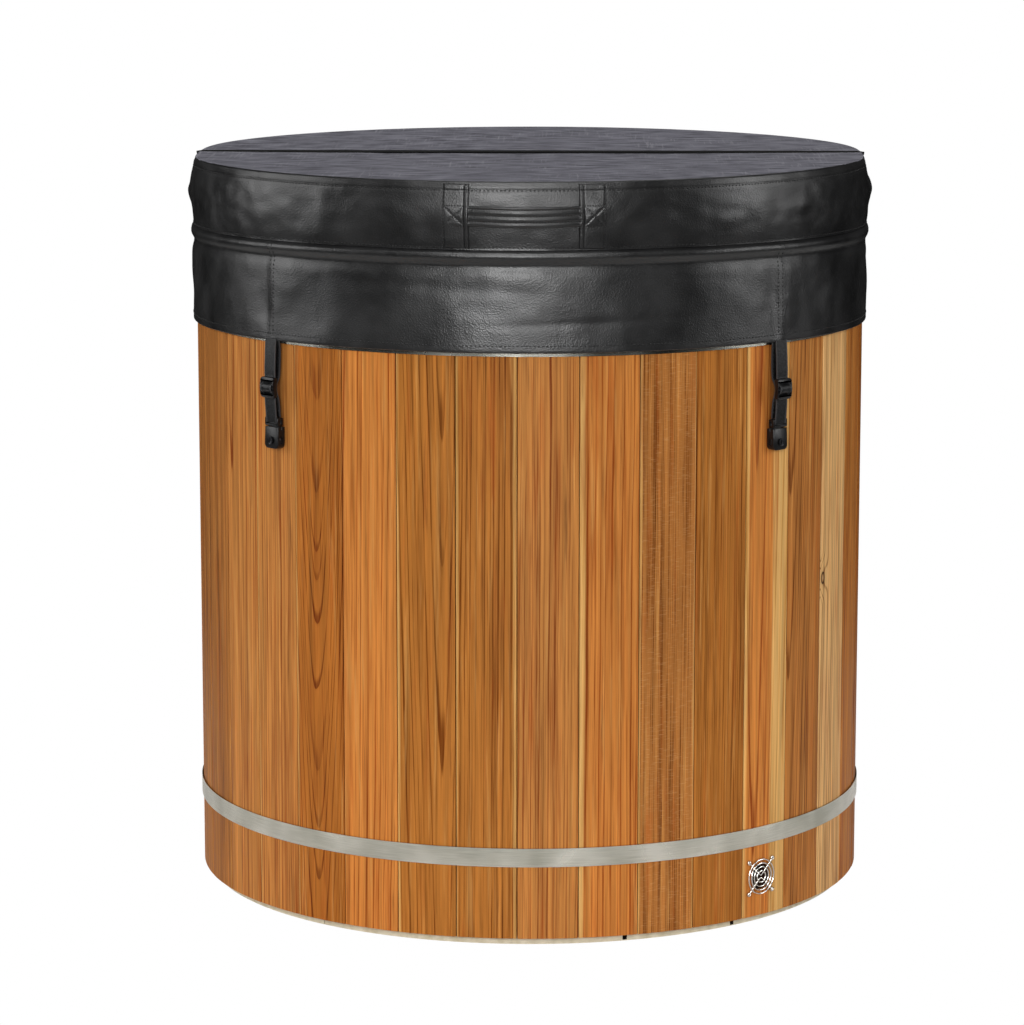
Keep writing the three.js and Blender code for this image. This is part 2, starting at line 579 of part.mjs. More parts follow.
function skirts() {
  const halfSplit = Math.asin(SKIRT_SPLIT / 2 / (TUB_RADIUS + SKIRT_SIDE_CLEARANCE));
  const end = Math.PI / 2 - halfSplit;
  const cloth = shapedBox(40, 7, (u, v, w) => {
    const azimuth = lerp(-end, end, u);
    const drop = (1 - v) ** 1.6;
    const radius = skirtRadius(azimuth, drop) + SKIRT_THICKNESS * (w - 0.5);
    return polar(azimuth, radius, lerp(SKIRT_TOP, hemHeight(azimuth), drop));
  });
  addPiece("front_skirt", cloth, blackVinyl);
  addPiece("rear_skirt", cloth, blackVinyl, 180);
}

// Carrying strap on the side of a cover half, between two sewn upright bands
function handles() {
  const bandAngle = HANDLE_BAND_WIDTH / COVER_RIM_RADIUS;
  const innerAngle = HANDLE_SPAN / 2 / COVER_RIM_RADIUS;
  const outerAngle = innerAngle + bandAngle;
  const onSide = (azimuth, height, w, away) => {
    const radius = coverSide(height) + FIT_GAP + away + HANDLE_THICKNESS * w;
    return polar(azimuth, radius, COVER_BOTTOM + height);
  };
  const strapFoot = HANDLE_STRAP_MIDDLE - HANDLE_STRAP_HEIGHT / 2;
  let handle = shapedBox(16, 3, (u, v, w) => {
    const azimuth = lerp(-outerAngle, outerAngle, u);
    const clear = smooth(Math.abs(azimuth), 0, innerAngle);
    const away = HANDLE_THICKNESS / 2 + HANDLE_STANDOFF * (1 - clear);
    return onSide(azimuth, strapFoot + HANDLE_STRAP_HEIGHT * v, w, away);
  });
  for (const sign of [-1, 1]) {
    const upright = shapedBox(2, 8, (u, v, w) => {
      const azimuth = sign * (innerAngle + bandAngle / 2) + bandAngle * (u - 0.5);
      return onSide(azimuth, lerp(HANDLE_BAND_MARGIN, COVER_EDGE_HEIGHT - HANDLE_BAND_MARGIN, v), w, 0);
    });
    handle = handle.add(upright);
  }
  addPiece("front_handle", handle, blackVinyl);
  addPiece("rear_handle", handle, blackVinyl, 180);
}

// Strap clips: webbing sewn under the hem, through a slider, to a clip over a key lock on the wall
function strapClips() {
  const lockBack = WALL_FLAT + 2 * FIT_GAP;
  const lockFront = lockBack + LOCK_SIZE.depth;
  const lockTop = LOCK_BOTTOM + LOCK_SIZE.height;
  const clipBottom = lockTop + CLIP_RELEASE_GAP;
  const clipTop = clipBottom + CLIP_SIZE.height;
  const clipOut = lockFront - CLIP_SIZE.depth / 2;
  const strapFoot = clipTop + FIT_GAP;
  const sliderOut = TUB_RADIUS + SLIDER_STANDOFF;
  const straight = SLIDER_SIZE.height / 2 + 2;
  const slider = box(SLIDER_SIZE.width, SLIDER_SIZE.depth, SLIDER_SIZE.height, 0, -sliderOut, SLIDER_HEIGHT)
    .subtract(box(
      STRAP_WIDTH + 2 * FIT_GAP,
      STRAP_THICKNESS + 2 * FIT_GAP,
      2 * SLIDER_SIZE.height,
      0,
      -sliderOut,
      SLIDER_HEIGHT,
    ));
  const shoulder = CLIP_SIZE.width / 8;
  const clipOutline = [
    [-CLIP_SIZE.width / 2 + shoulder, 0],
    [CLIP_SIZE.width / 2 - shoulder, 0],
    [CLIP_SIZE.width / 2, CLIP_SIZE.height / 3],
    [CLIP_SIZE.width / 2, CLIP_SIZE.height],
    [-CLIP_SIZE.width / 2, CLIP_SIZE.height],
    [-CLIP_SIZE.width / 2, CLIP_SIZE.height / 3],
  ];
  const clip = solid(extruded(clipOutline, CLIP_SIZE.depth)
    .rotateX(Math.PI / 2).translate(0, -clipOut + CLIP_SIZE.depth / 2, clipBottom));
  const halfWidth = LOCK_SIZE.width / 2;
  const lockOutline = [
    [-halfWidth + LOCK_CORNER, 0],
    [halfWidth - LOCK_CORNER, 0],
    [halfWidth, LOCK_CORNER],
    [halfWidth, LOCK_SIZE.height - LOCK_CORNER],
    [halfWidth - LOCK_CORNER, LOCK_SIZE.height],
    [-halfWidth + LOCK_CORNER, LOCK_SIZE.height],
    [-halfWidth, LOCK_SIZE.height - LOCK_CORNER],
    [-halfWidth, LOCK_CORNER],
  ];
  const lock = solid(extruded(lockOutline, LOCK_SIZE.depth)
    .rotateX(Math.PI / 2).translate(0, -lockBack, LOCK_BOTTOM));
  const keyFoot = lockFront + FIT_GAP;
  const keyEnd = keyFoot + KEY_LENGTH;
  const keyMiddle = LOCK_BOTTOM + KEY_HEIGHT;
  const barrel = turnedOutward([[0, keyFoot], [KEY_RADIUS, keyFoot], [KEY_RADIUS, keyEnd], [0, keyEnd]], keyMiddle)
    .subtract(box(KEY_SLOT.width, 2 * KEY_SLOT.depth, KEY_SLOT.length, 0, -keyEnd, keyMiddle));
  for (const [corner, degrees] of Object.entries(STRAP_DEGREES)) {
    const strapOut = skirtRadius(rad(degrees), 1);
    const strapTop = hemHeight(rad(degrees)) - FIT_GAP;
    const strap = shapedBox(24, 1, (u, v, w) => {
      const height = lerp(strapFoot, strapTop, u);
      const below = smooth(height, strapFoot, SLIDER_HEIGHT - straight);
      const above = smooth(height, SLIDER_HEIGHT + straight, strapTop);
      const out = lerp(lerp(clipOut, sliderOut, below), strapOut, above);
      return [STRAP_WIDTH * (0.5 - v), -out - STRAP_THICKNESS * (w - 0.5), height];
    });
    addPiece(`${corner}_strap`, strap, webbing, degrees);
    addPiece(`${corner}_slider`, slider, blackPlastic, degrees);
    addPiece(`${corner}_clip`, clip, blackPlastic, degrees);
    addPiece(`${corner}_lock`, lock, blackPlastic, degrees);
    addPiece(`${corner}_key_barrel`, barrel, wireSteel, degrees);
  }
}

basePanel();
floor();
staves();
insulation();
liner();
band("lower_band", LOWER_BAND_BOTTOM);
band("upper_band", SKIRT_HEM_HEIGHT - UPPER_BAND_BELOW_HEM);
vent();
drain();
cover();
skirts();
handles();
strapClips();

export default tub;
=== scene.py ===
import math
import random

import bpy
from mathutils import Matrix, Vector, noise


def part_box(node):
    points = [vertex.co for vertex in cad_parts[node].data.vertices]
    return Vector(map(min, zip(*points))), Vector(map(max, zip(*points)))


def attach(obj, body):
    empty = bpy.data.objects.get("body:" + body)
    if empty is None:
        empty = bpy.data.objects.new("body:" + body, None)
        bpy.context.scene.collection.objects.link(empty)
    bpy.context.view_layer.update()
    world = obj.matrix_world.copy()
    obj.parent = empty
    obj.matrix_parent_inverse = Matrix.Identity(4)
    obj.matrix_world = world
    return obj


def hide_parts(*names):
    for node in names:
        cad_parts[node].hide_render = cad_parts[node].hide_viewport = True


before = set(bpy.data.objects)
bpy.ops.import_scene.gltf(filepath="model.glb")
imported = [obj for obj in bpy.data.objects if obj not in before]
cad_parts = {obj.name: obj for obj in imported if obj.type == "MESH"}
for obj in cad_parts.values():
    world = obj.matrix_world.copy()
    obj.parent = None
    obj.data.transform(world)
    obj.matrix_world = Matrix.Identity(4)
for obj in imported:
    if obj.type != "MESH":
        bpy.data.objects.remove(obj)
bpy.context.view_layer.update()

# View
# A long lens stands a little above the rim, on the side of the front handle, and looks slightly down.
camera_away, camera_height = 6.312, 1.6735
camera_side, camera_pan, camera_down = math.radians(0.9), math.radians(0.2585), math.radians(9.8735)
camera_place = (camera_away * math.sin(camera_side), -camera_away * math.cos(camera_side), camera_height)
camera_turn = (math.radians(90) - camera_down, 0.0, camera_side + camera_pan)
bpy.ops.object.camera_add(location=camera_place, rotation=camera_turn)
camera = bpy.context.object
camera.data.lens = 138.66
camera.data.clip_end = 200
bpy.context.scene.camera = camera
bpy.context.scene.view_settings.view_transform = "Standard"


# Stage
# A white studio floor, dark further out, with a large soft box beside the camera, one at each side, one high
# in front, which only shines on glossy faces, and one above.
def linear(code):
    """An sRGB hex colour as linear red, green, blue and alpha."""
    parts = [int(code[i : i + 2], 16) / 255 for i in (1, 3, 5)]
    return [p / 12.92 if p <= 0.04045 else ((p + 0.055) / 1.055) ** 2.4 for p in parts] + [1.0]


def add_node(tree, kind, inputs=None, **settings):
    """A shader node with its settings, and with each input set to a value or linked from a socket."""
    made = tree.nodes.new(kind)
    for name, value in settings.items():
        setattr(made, name, value)
    for name, value in (inputs or {}).items():
        if isinstance(value, bpy.types.NodeSocket):
            tree.links.new(value, made.inputs[name])
        else:
            made.inputs[name].default_value = value
    return made


def new_material(name):
    """An empty node material, and its tree."""
    made = bpy.data.materials.new(name)
    made.use_nodes = True
    made.node_tree.nodes.clear()
    return made, made.node_tree


def reckon_vector(tree, operation, *values):
    """What an operation makes of vectors: a vector, or a length."""
    made = add_node(tree, "ShaderNodeVectorMath", dict(enumerate(values)), operation=operation)
    return made.outputs["Value" if operation == "LENGTH" else "Vector"]


def remap(tree, value, start, end=(0, 1), **settings):
    """A value moved from one range to another, and held inside it."""
    inputs = {"Value": value, "From Min": start[0], "From Max": start[1], "To Min": end[0], "To Max": end[1]}
    return add_node(tree, "ShaderNodeMapRange", inputs, **settings).outputs[0]


def blend(tree, share, first, second):
    """A colour between two, each given as a hex code or as a socket."""
    ends = [linear(end) if isinstance(end, str) else end for end in (first, second)]
    return add_node(tree, "ShaderNodeMix", {0: share, 6: ends[0], 7: ends[1]}, data_type="RGBA").outputs[2]


def choose(tree, share, first, second):
    """One of two shaders, by a share of 0 or 1."""
    return add_node(tree, "ShaderNodeMixShader", {0: share, 1: first.outputs[0], 2: second.outputs[0]})


white = (1, 1, 1, 1)
floor_size, floor_bright, floor_dark = 160, 1.5, 2.6
bpy.ops.object.select_all(action="DESELECT")
bpy.ops.mesh.primitive_plane_add(size=floor_size)
floor = bpy.context.object
floor.name = "studio_floor"
floor_paint, tree = new_material("white_studio_floor")
away = reckon_vector(tree, "LENGTH", add_node(tree, "ShaderNodeTexCoord").outputs["Object"])
tint = blend(tree, remap(tree, away, (floor_bright, floor_dark)), "#f6f6f5", "#2a2a2a")
matte = add_node(tree, "ShaderNodeBsdfDiffuse", {"Color": tint})
glow = add_node(tree, "ShaderNodeEmission", {"Color": white, "Strength": 1.0})
mixed = choose(tree, add_node(tree, "ShaderNodeLightPath").outputs["Is Camera Ray"], matte, glow)
add_node(tree, "ShaderNodeOutputMaterial", {"Surface": mixed.outputs[0]})
floor.data.materials.append(floor_paint)

world = bpy.data.worlds.new("studio_white")
bpy.context.scene.world = world
world.use_nodes = True
tree = world.node_tree
tree.nodes.clear()
paths = add_node(tree, "ShaderNodeLightPath").outputs
fill_light, mirrored_light, backdrop_light = 0.2, 0.03, 1.0
fill, mirrored, backdrop = [
    add_node(tree, "ShaderNodeBackground", {"Color": white, "Strength": strength})
    for strength in (fill_light, mirrored_light, backdrop_light)
]
lit = choose(tree, paths["Is Glossy Ray"], fill, mirrored)
mixed = choose(tree, paths["Is Camera Ray"], lit, backdrop)
add_node(tree, "ShaderNodeOutputWorld", {"Surface": mixed.outputs[0]})

# Each soft box: its name, place, width, height and watts.
soft_boxes = [
    ("front_box", (-0.5, -7.2, 2.4), 3.4, 2.4, 292),
    ("left_box", (-4.2, -0.3, 1.9), 1.8, 2.6, 56),
    ("right_box", (4.1, -0.9, 1.9), 1.0, 2.6, 46),
    ("crown_box", (-0.3, -3.4, 4.6), 3.4, 2.2, 110),
    ("top_box", (0.3, 1.4, 4.4), 3.0, 3.0, 31),
]
lamp_aim = Vector((0, 0, 0.6))
for name, place, width, height, watts in soft_boxes:
    turn = (lamp_aim - Vector(place)).to_track_quat("-Z", "Y").to_euler()
    bpy.ops.object.light_add(type="AREA", location=place, rotation=turn)
    lamp = bpy.context.object
    lamp.name = name
    lamp.data.shape = "RECTANGLE"
    lamp.data.size = width
    lamp.data.size_y = height
    lamp.data.energy = watts
    lamp.visible_diffuse = name != "crown_box"


# Base panel
# A pale board under the staves, set back from their faces, with a joint and with two slots in its edge that
# let water run out.
def at(degrees, radius, height):
    """The point at an angle round the tub, from the front towards the right, a radius and a height."""
    angle = math.radians(degrees)
    return Vector((radius * math.sin(angle), -radius * math.cos(angle), height))


def begin():
    """Leaves edit mode and deselects everything, so that the next piece is alone."""
    if bpy.context.object and bpy.context.object.mode == "EDIT":
        bpy.ops.object.mode_set(mode="OBJECT")
    bpy.ops.object.select_all(action="DESELECT")


def select_only(piece):
    """Makes a piece the active one, and the only one selected."""
    begin()
    bpy.context.view_layer.objects.active = piece
    piece.select_set(True)


def apply_place():
    """Moves the place, turn and scale of the active piece into its mesh."""
    bpy.ops.object.transform_apply(location=True, rotation=True, scale=True)


def cylinder(radius, depth, place, turn=(0, 0, 0), sides=24):
    """A round or many-sided bar that is left active."""
    begin()
    bpy.ops.mesh.primitive_cylinder_add(
        vertices=sides, radius=radius, depth=depth, location=place, rotation=turn
    )
    return bpy.context.object


def block(sizes, place, turn=0.0):
    """A block of three sizes, turned about the upright, that is left active."""
    begin()
    bpy.ops.mesh.primitive_cube_add(size=1, location=place)
    made = bpy.context.object
    made.scale = sizes
    made.rotation_euler.z = turn
    apply_place()
    return made


def use_modifier(piece, kind, **settings):
    """Adds a modifier to a piece and applies it."""
    select_only(piece)
    modifier = piece.modifiers.new(kind.lower(), kind)
    for name, value in settings.items():
        setattr(modifier, name, value)
    bpy.ops.object.modifier_apply(modifier=modifier.name)


def cut_away(piece, tool):
    """Cuts the tool's volume out of the piece, and removes the tool."""
    use_modifier(piece, "BOOLEAN", operation="DIFFERENCE", solver="EXACT", object=tool)
    bpy.data.objects.remove(tool, do_unlink=True)


def finish_piece(name, material, body, replaced, smooth_angle=35):
    """Ends the active piece: applies its place, smooths it, and gives it its finish and its body."""
    if bpy.context.object.mode == "EDIT":
        bpy.ops.object.mode_set(mode="OBJECT")
    piece = bpy.context.object
    apply_place()
    bpy.ops.object.shade_smooth_by_angle(angle=math.radians(smooth_angle))
    piece.name = name
    piece.data.name = name
    piece.data.materials.clear()
    piece.data.materials.append(material)
    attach(piece, body)
    if replaced:
        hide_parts(*replaced)
    return piece


def second_finish(piece, material, test):
    """Gives the faces of a piece that pass the test another finish."""
    piece.data.materials.append(material)
    for face in piece.data.polygons:
        face.material_index = 1 if test(face) else 0


def noise_at(tree, size, detail, place=None, roughness=0.5, output="Fac"):
    """A noise pattern on the piece or on a place, with one size in metres or one for each axis."""
    place = place or add_node(tree, "ShaderNodeTexCoord").outputs["Object"]
    scale = 1.0
    if isinstance(size, tuple):
        place = reckon_vector(tree, "MULTIPLY", place, tuple(1 / part for part in size))
    else:
        scale = 1 / size
    inputs = {"Vector": place, "Scale": scale, "Detail": detail, "Roughness": roughness}
    return add_node(tree, "ShaderNodeTexNoise", inputs).outputs[output]


def ramp(tree, value, stops, interpolation="LINEAR"):
    """The colour at a value between stops, each given by its place and a hex code or a grey level."""
    made = add_node(tree, "ShaderNodeValToRGB", {"Fac": value})
    made.color_ramp.interpolation = interpolation
    places = made.color_ramp.elements
    for step, (spot, tone) in enumerate(stops):
        stop = places[step] if step < 2 else places.new(spot)
        stop.position = spot
        stop.color = linear(tone) if isinstance(tone, str) else (tone, tone, tone, 1)
    return made.outputs[0]


def bump(tree, height, strength, depth, **under):
    """The relief of a pattern, on the piece's own surface or over another relief."""
    inputs = {"Height": height, "Strength": strength, "Distance": depth, **under}
    return add_node(tree, "ShaderNodeBump", inputs).outputs[0]


def coat(tree, colour, roughness, **more):
    """Ends a material with its colour, its roughness and what else its finish needs."""
    labels = {"normal": "Normal", "ior": "IOR", "metallic": "Metallic", "specular": "Specular IOR Level"}
    inputs = {"Base Color": colour, "Roughness": roughness}
    inputs.update({labels[name]: value for name, value in more.items()})
    skin = add_node(tree, "ShaderNodeBsdfPrincipled", inputs)
    add_node(tree, "ShaderNodeOutputMaterial", {"Surface": skin.outputs[0]})


def mottled(name, size, detail, stops, roughness, relief=None, **more):
    """A finish with one noise, which sets its colour, its roughness if that is a range, and its relief."""
    made, tree = new_material(name)
    mottle = noise_at(tree, size, detail)
    if isinstance(roughness, tuple):
        roughness = remap(tree, mottle, (0, 1), roughness)
    if relief:
        more["normal"] = bump(tree, mottle, *relief)
    coat(tree, ramp(tree, mottle, stops), roughness, **more)
    return made


base_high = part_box("base_panel")[1]
base_setback = 0.010
base_radius, base_height = base_high.x - base_setback, base_high.z
slot_width, slot_reach, slot_floor = 0.007, 0.3, 0.0012
joint_width = 0.0008
board = cylinder(base_radius, base_height, (0, 0, base_height / 2), sides=288)
for degrees, width in ((17.2, slot_width), (38.0, slot_width), (-36.7, joint_width)):
    place = at(degrees, base_radius, slot_floor + base_height / 2)
    cut_away(board, block((width, slot_reach, base_height), place, math.radians(degrees)))

# Pale timber with a sawn edge: beige, slightly mottled and dull.
mottle_size = 0.012
timber_tones = [(0.3, "#d2c6a8"), (0.7, "#ece2ca")]
base_timber = mottled("sawn_pale_timber", mottle_size, 3.0, timber_tones, 0.6, (0.15, 0.0006), ior=1.54)
finish_piece("base_panel_board", base_timber, "tub", ["base_panel"])

# The walls of the slots and of the joint are near black: painted shade, for the dark inside these narrow
# gaps.
painted_slot_shade = mottled("slot_walls_painted_shade", mottle_size, 3.0, [(0, "#120a06"), (1, "#2a1a10")], 0.8)


def in_slot(face):
    """Whether a face of the base board is a wall of a slot or of the joint."""
    inside = face.center.xy.length < base_radius - 0.001
    return inside and slot_floor / 2 < face.center.z < base_height - 0.0005


# Painted shade on the walls of the slots and of the joint.
second_finish(board, painted_slot_shade, in_slot)

# Staves
# Thirty-six planed red cedar boards stand edge to edge on the base. Each is cut to a sector of the round, and
# its outer corners are eased, so that a fine dark groove shows at every joint. Three make one CAD group.
stave_low, stave_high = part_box("stave_group_01")
stave_bottom, stave_top = stave_low.z, stave_high.z
stave_middle = (stave_top + stave_bottom) / 2
stave_count = 36
stave_degrees = 360 / stave_count
first_seam_degrees = -1.1
stave_face, stave_thickness = 0.5334, 0.032
joint_gap, corner_ease = 0.0009, 0.0018
vent_degrees, vent_height, vent_hole = 42.9, 0.074, 0.020
drain_degrees, drain_height, drain_hole = 183.0, 0.2162, 0.0112
holes = ((vent_degrees, vent_height, vent_hole), (drain_degrees, drain_height, drain_hole))


def edit_all():
    """Opens the active mesh for editing, with everything selected."""
    bpy.ops.object.mode_set(mode="EDIT")
    bpy.ops.mesh.select_mode(type="VERT")
    bpy.ops.mesh.select_all(action="SELECT")


def pick(kind, test):
    """Selects the active mesh's edges by a test of their middles, or its polygons by one of their normals."""
    bpy.ops.object.mode_set(mode="OBJECT")
    bpy.context.tool_settings.mesh_select_mode = (False, kind == "edges", kind == "polygons")
    mesh = bpy.context.object.data
    for group in (mesh.polygons, mesh.edges, mesh.vertices):
        group.foreach_set("select", [False] * len(group))
    for part in getattr(mesh, kind):
        if kind == "edges":
            part.select = test((mesh.vertices[part.vertices[0]].co + mesh.vertices[part.vertices[1]].co) / 2)
        else:
            part.select = test(part.normal)
    bpy.ops.object.mode_set(mode="EDIT")


def ease(width, segments, test=lambda middle: True):
    """Rounds those edges of the active mesh whose middles pass the test."""
    pick("edges", test)
    bpy.ops.mesh.bevel(offset=width, segments=segments, affect="EDGES")
    bpy.ops.object.mode_set(mode="OBJECT")


def spin_all(steps, angle):
    """Turns the edited mesh about the tub's axis, and closes what it leaves."""
    bpy.ops.mesh.select_all(action="SELECT")
    bpy.ops.mesh.spin(steps=steps, angle=angle, center=(0, 0, 0), axis=(0, 0, 1))
    bpy.ops.mesh.select_all(action="SELECT")
    bpy.ops.mesh.remove_doubles(threshold=1e-6)
    bpy.ops.mesh.normals_make_consistent(inside=False)


def plane(width, height, place, turn):
    """A flat rectangle of two sizes that is left active."""
    begin()
    bpy.ops.mesh.primitive_plane_add(size=1, rotation=turn)
    made = bpy.context.object
    made.scale = (width, height, 1)
    made.location = place
    apply_place()
    return made


def hole_away(point, degrees, height):
    """Distance of a point from the axis of a hole drilled straight through the wall."""
    angle = math.radians(degrees)
    return math.hypot(point.x * math.cos(angle) + point.y * math.sin(angle), point.z - height)


quarter = math.radians(90)
blank_place = (stave_face - stave_thickness / 2, 0, stave_middle)
blank = plane(stave_thickness, stave_top - stave_bottom, blank_place, (quarter, 0, 0))
sector = math.radians(stave_degrees) - joint_gap / stave_face
edit_all()
spin_all(8, -sector)


def on_outer_corner(middle):
    """Whether an edge is one of a stave's two upright outer corners."""
    turn = abs(math.atan2(middle.y, middle.x))
    upright = abs(middle.z - stave_middle) < 0.01
    return upright and middle.xy.length > stave_face - 0.001 and (turn < 1e-4 or abs(turn - sector) < 1e-4)


ease(corner_ease, 3, on_outer_corner)

# Red cedar, planed and oiled: growth rings cut lengthwise or across show as stripes or as pointed arches, in
# tones from honey to umber, with pale sapwood along some edges and narrow pale strips of painted highlight
# beside some joints, dark resin streaks and a few small knots. Each tone has the colour of its early and of
# its late wood.
cedar_tones = {
    "honey": ("#ca8643", "#873e15"),
    "orange": ("#d1843d", "#924314"),
    "tan": ("#e4b477", "#8b5626"),
    "brown": ("#b26b29", "#682b08"),
    "umber": ("#b77639", "#68310a"),
    "olive": ("#b87430", "#6c3406"),
    "red": ("#ca813b", "#7e340c"),
}
# For each stave seen from the front, by its angle from the front seam: tone, pith offset to the
# side and behind, ring gap and rise, all in mm (the rise over one metre), the widths of pale wood on its left
# and right edges, which is sapwood where wide and a painted highlight along the joint where narrow, and how
# much ray fleck crosses it.
stave_cuts = {
    -80: ("umber", 90, 30, 5.4, 6, 0, 0, 0),
    -70: ("umber", 120, 20, 5.8, 4, 0, 0, 0),
    -60: ("honey", 30, 22, 7.5, 10, 0, 0, 0),
    -50: ("honey", 70, 25, 5.1, 6, 3, 0, 0),
    -40: ("brown", 2, 26, 4.8, 46, 3, 0, 0),
    -30: ("orange", 64, 20, 9.5, 14, 0, 0, 0),
    -20: ("olive", -26, 14, 8.8, 22, 4, 0, 0),
    -10: ("olive", 90, 20, 7.1, 6, 3, 4, 0),
    0: ("honey", 100, 16, 6.1, 5, 0, 0, 0),
    10: ("orange", 84, 22, 8.5, 4, 7, 0, 0),
    20: ("umber", 110, 14, 4.1, 4, 2, 3, 1),
    30: ("olive", 120, 14, 4.4, 5, 0, 0, 0),
    40: ("orange", 26, 20, 8.5, 16, 5, 36, 0),
    50: ("umber", 42, 20, 5.8, 24, 0, 0, 0),
    60: ("tan", 60, 24, 6.8, 9, 0, 0, 0),
    70: ("red", 70, 20, 6.1, 12, 0, 0, 0),
    80: ("brown", 60, 26, 6.5, 10, 0, 0, 0),
}
# Each knot, by its stave: its angle, its height and its radius.
knots = {
    60: (59.8, 0.520, 0.005),
    130: (134.6, 0.742, 0.007),
    210: (211.8, 0.388, 0.006),
    260: (263.1, 0.655, 0.005),
}
drawn_knot = 0.005
cedar, tree = new_material("oiled_red_cedar")


def read_mark(tree, label, output):
    """What the points of a piece carry under a label."""
    return add_node(tree, "ShaderNodeAttribute", attribute_name=label).outputs[output]


def reckon(tree, operation, *values, **settings):
    """What an operation makes of one or two numbers."""
    made = add_node(tree, "ShaderNodeMath", dict(enumerate(values)), operation=operation, **settings)
    return made.outputs[0]


def along_grain(tree, place, across, along, detail, roughness=0.5):
    """A noise that is narrow across the grain and long along it."""
    return noise_at(tree, (across, across, along), detail, place, roughness)


log_place, knot_place = read_mark(tree, "log_place", "Vector"), read_mark(tree, "knot_place", "Vector")
shape = add_node(tree, "ShaderNodeSeparateXYZ", {0: read_mark(tree, "ring_shape", "Vector")}).outputs
ring_density, ring_rise, sap_and_highlight_depth = shape["X"], shape["Y"], shape["Z"]
fleck_share = add_node(tree, "ShaderNodeSeparateXYZ", {0: knot_place}).outputs["Z"]

# The rings: distance from a wandering pith, less the rise of the cut, swollen round a knot.
wander_across, wander_along, wander_depth = 0.05, 0.42, 0.0075
knot_reach, knot_swell, knot_upright = 0.03, 0.012, 0.6
slow = noise_at(tree, (wander_across, wander_across, wander_along), 2.5, log_place, 0.45, "Color")
slow = reckon_vector(tree, "SUBTRACT", slow, (0.5, 0.5, 0.5))
slow = reckon_vector(tree, "MULTIPLY", slow, (wander_depth, wander_depth, 0))
bent = reckon_vector(tree, "ADD", log_place, slow)
from_pith = reckon_vector(tree, "LENGTH", reckon_vector(tree, "MULTIPLY", bent, (1, 1, 0)))
knot_away = reckon_vector(tree, "LENGTH", reckon_vector(tree, "MULTIPLY", knot_place, (1, knot_upright, 0)))
swollen = remap(tree, knot_away, (0, knot_reach), (knot_swell, 0), interpolation_type="SMOOTHERSTEP")
ring_run = reckon(tree, "ADD", reckon(tree, "SUBTRACT", from_pith, ring_rise), swollen)
ring_run = reckon(tree, "MULTIPLY", ring_run, ring_density)
uneven_scale, uneven_rings = 0.31, 3.2
uneven = {"W": ring_run, "Scale": uneven_scale, "Detail": 2.0}
uneven = add_node(tree, "ShaderNodeTexNoise", uneven, noise_dimensions="1D").outputs["Fac"]
ring_run = reckon(tree, "ADD", ring_run, reckon(tree, "MULTIPLY", uneven, uneven_rings))
ring_stops = [(0.0, 0.2), (0.08, 0.0), (0.66, 0.06), (0.87, 0.9), (0.96, 1.0), (1.0, 0.2)]
late_line = ramp(tree, reckon(tree, "FRACT", ring_run), ring_stops, "EASE")
ring_number = {"W": reckon(tree, "FLOOR", ring_run)}
ring_weight = add_node(tree, "ShaderNodeTexWhiteNoise", ring_number, noise_dimensions="1D").outputs["Value"]
late_part = reckon(tree, "MULTIPLY", late_line, remap(tree, ring_weight, (0, 1), (0.45, 1.0)))

# Fibres and broader bands shift the tone, and pale wood takes the place of heartwood along an edge: sapwood,
# and in narrow strips a painted highlight beside the joint.
fibre = along_grain(tree, log_place, 0.0022, 0.12, 2.0)
tone_band = along_grain(tree, log_place, 0.013, 0.55, 3.0)
dark_part = reckon(tree, "ADD", late_part, remap(tree, fibre, (0, 1), (-0.85, 0.85)))
dark_part = reckon(tree, "ADD", dark_part, remap(tree, tone_band, (0, 1), (-1.1, 1.1)), use_clamp=True)
heart = blend(tree, dark_part, read_mark(tree, "early_tone", "Color"), read_mark(tree, "late_tone", "Color"))
sap_and_highlight_blend, sap_and_highlight_wander = 0.0022, 0.007
sap_and_highlight_edge = reckon(tree, "ADD", sap_and_highlight_depth, remap(tree, tone_band, (0, 1), (-sap_and_highlight_wander, sap_and_highlight_wander)))
# Pale wood: sapwood in the wide strips, a painted highlight in the narrow strips beside the joints.
sap_and_highlight_tone = blend(tree, dark_part, "#e2b06a", "#b97d36")
wood = blend(tree, remap(tree, sap_and_highlight_edge, (-sap_and_highlight_blend, sap_and_highlight_blend)), heart, sap_and_highlight_tone)

# Red and pale blushes, each with its seed, width, range, strength and colour, then resin and ray flecks.
blush_along = 0.26
for seed, across, low, high, most, code in (
    (3.0, 0.014, 0.52, 0.72, 0.42, "#ac541e"),
    (7.0, 0.008, 0.54, 0.72, 0.45, "#dca15a"),
):
    stretch = (1 / across, 1 / across, 1 / blush_along)
    spot = reckon_vector(tree, "MULTIPLY_ADD", bent, stretch, (seed, seed, seed))
    blush = noise_at(tree, 1.0, 4.0, spot, 0.6)
    blush = remap(tree, blush, (low, high), (0, most), interpolation_type="SMOOTHSTEP")
    wood = blend(tree, blush, wood, code)
resin = along_grain(tree, bent, 0.009, 0.24, 4.0, 0.6)
resin = remap(tree, resin, (0.6, 0.78), (0, 0.62), interpolation_type="SMOOTHSTEP")
wood = blend(tree, resin, wood, "#5c3018")
fleck = remap(tree, along_grain(tree, bent, 0.011, 0.0011, 1.0), (0.56, 0.72), (0, 0.34))
wood = blend(tree, reckon(tree, "MULTIPLY", fleck, fleck_share), wood, "#cf9d66")

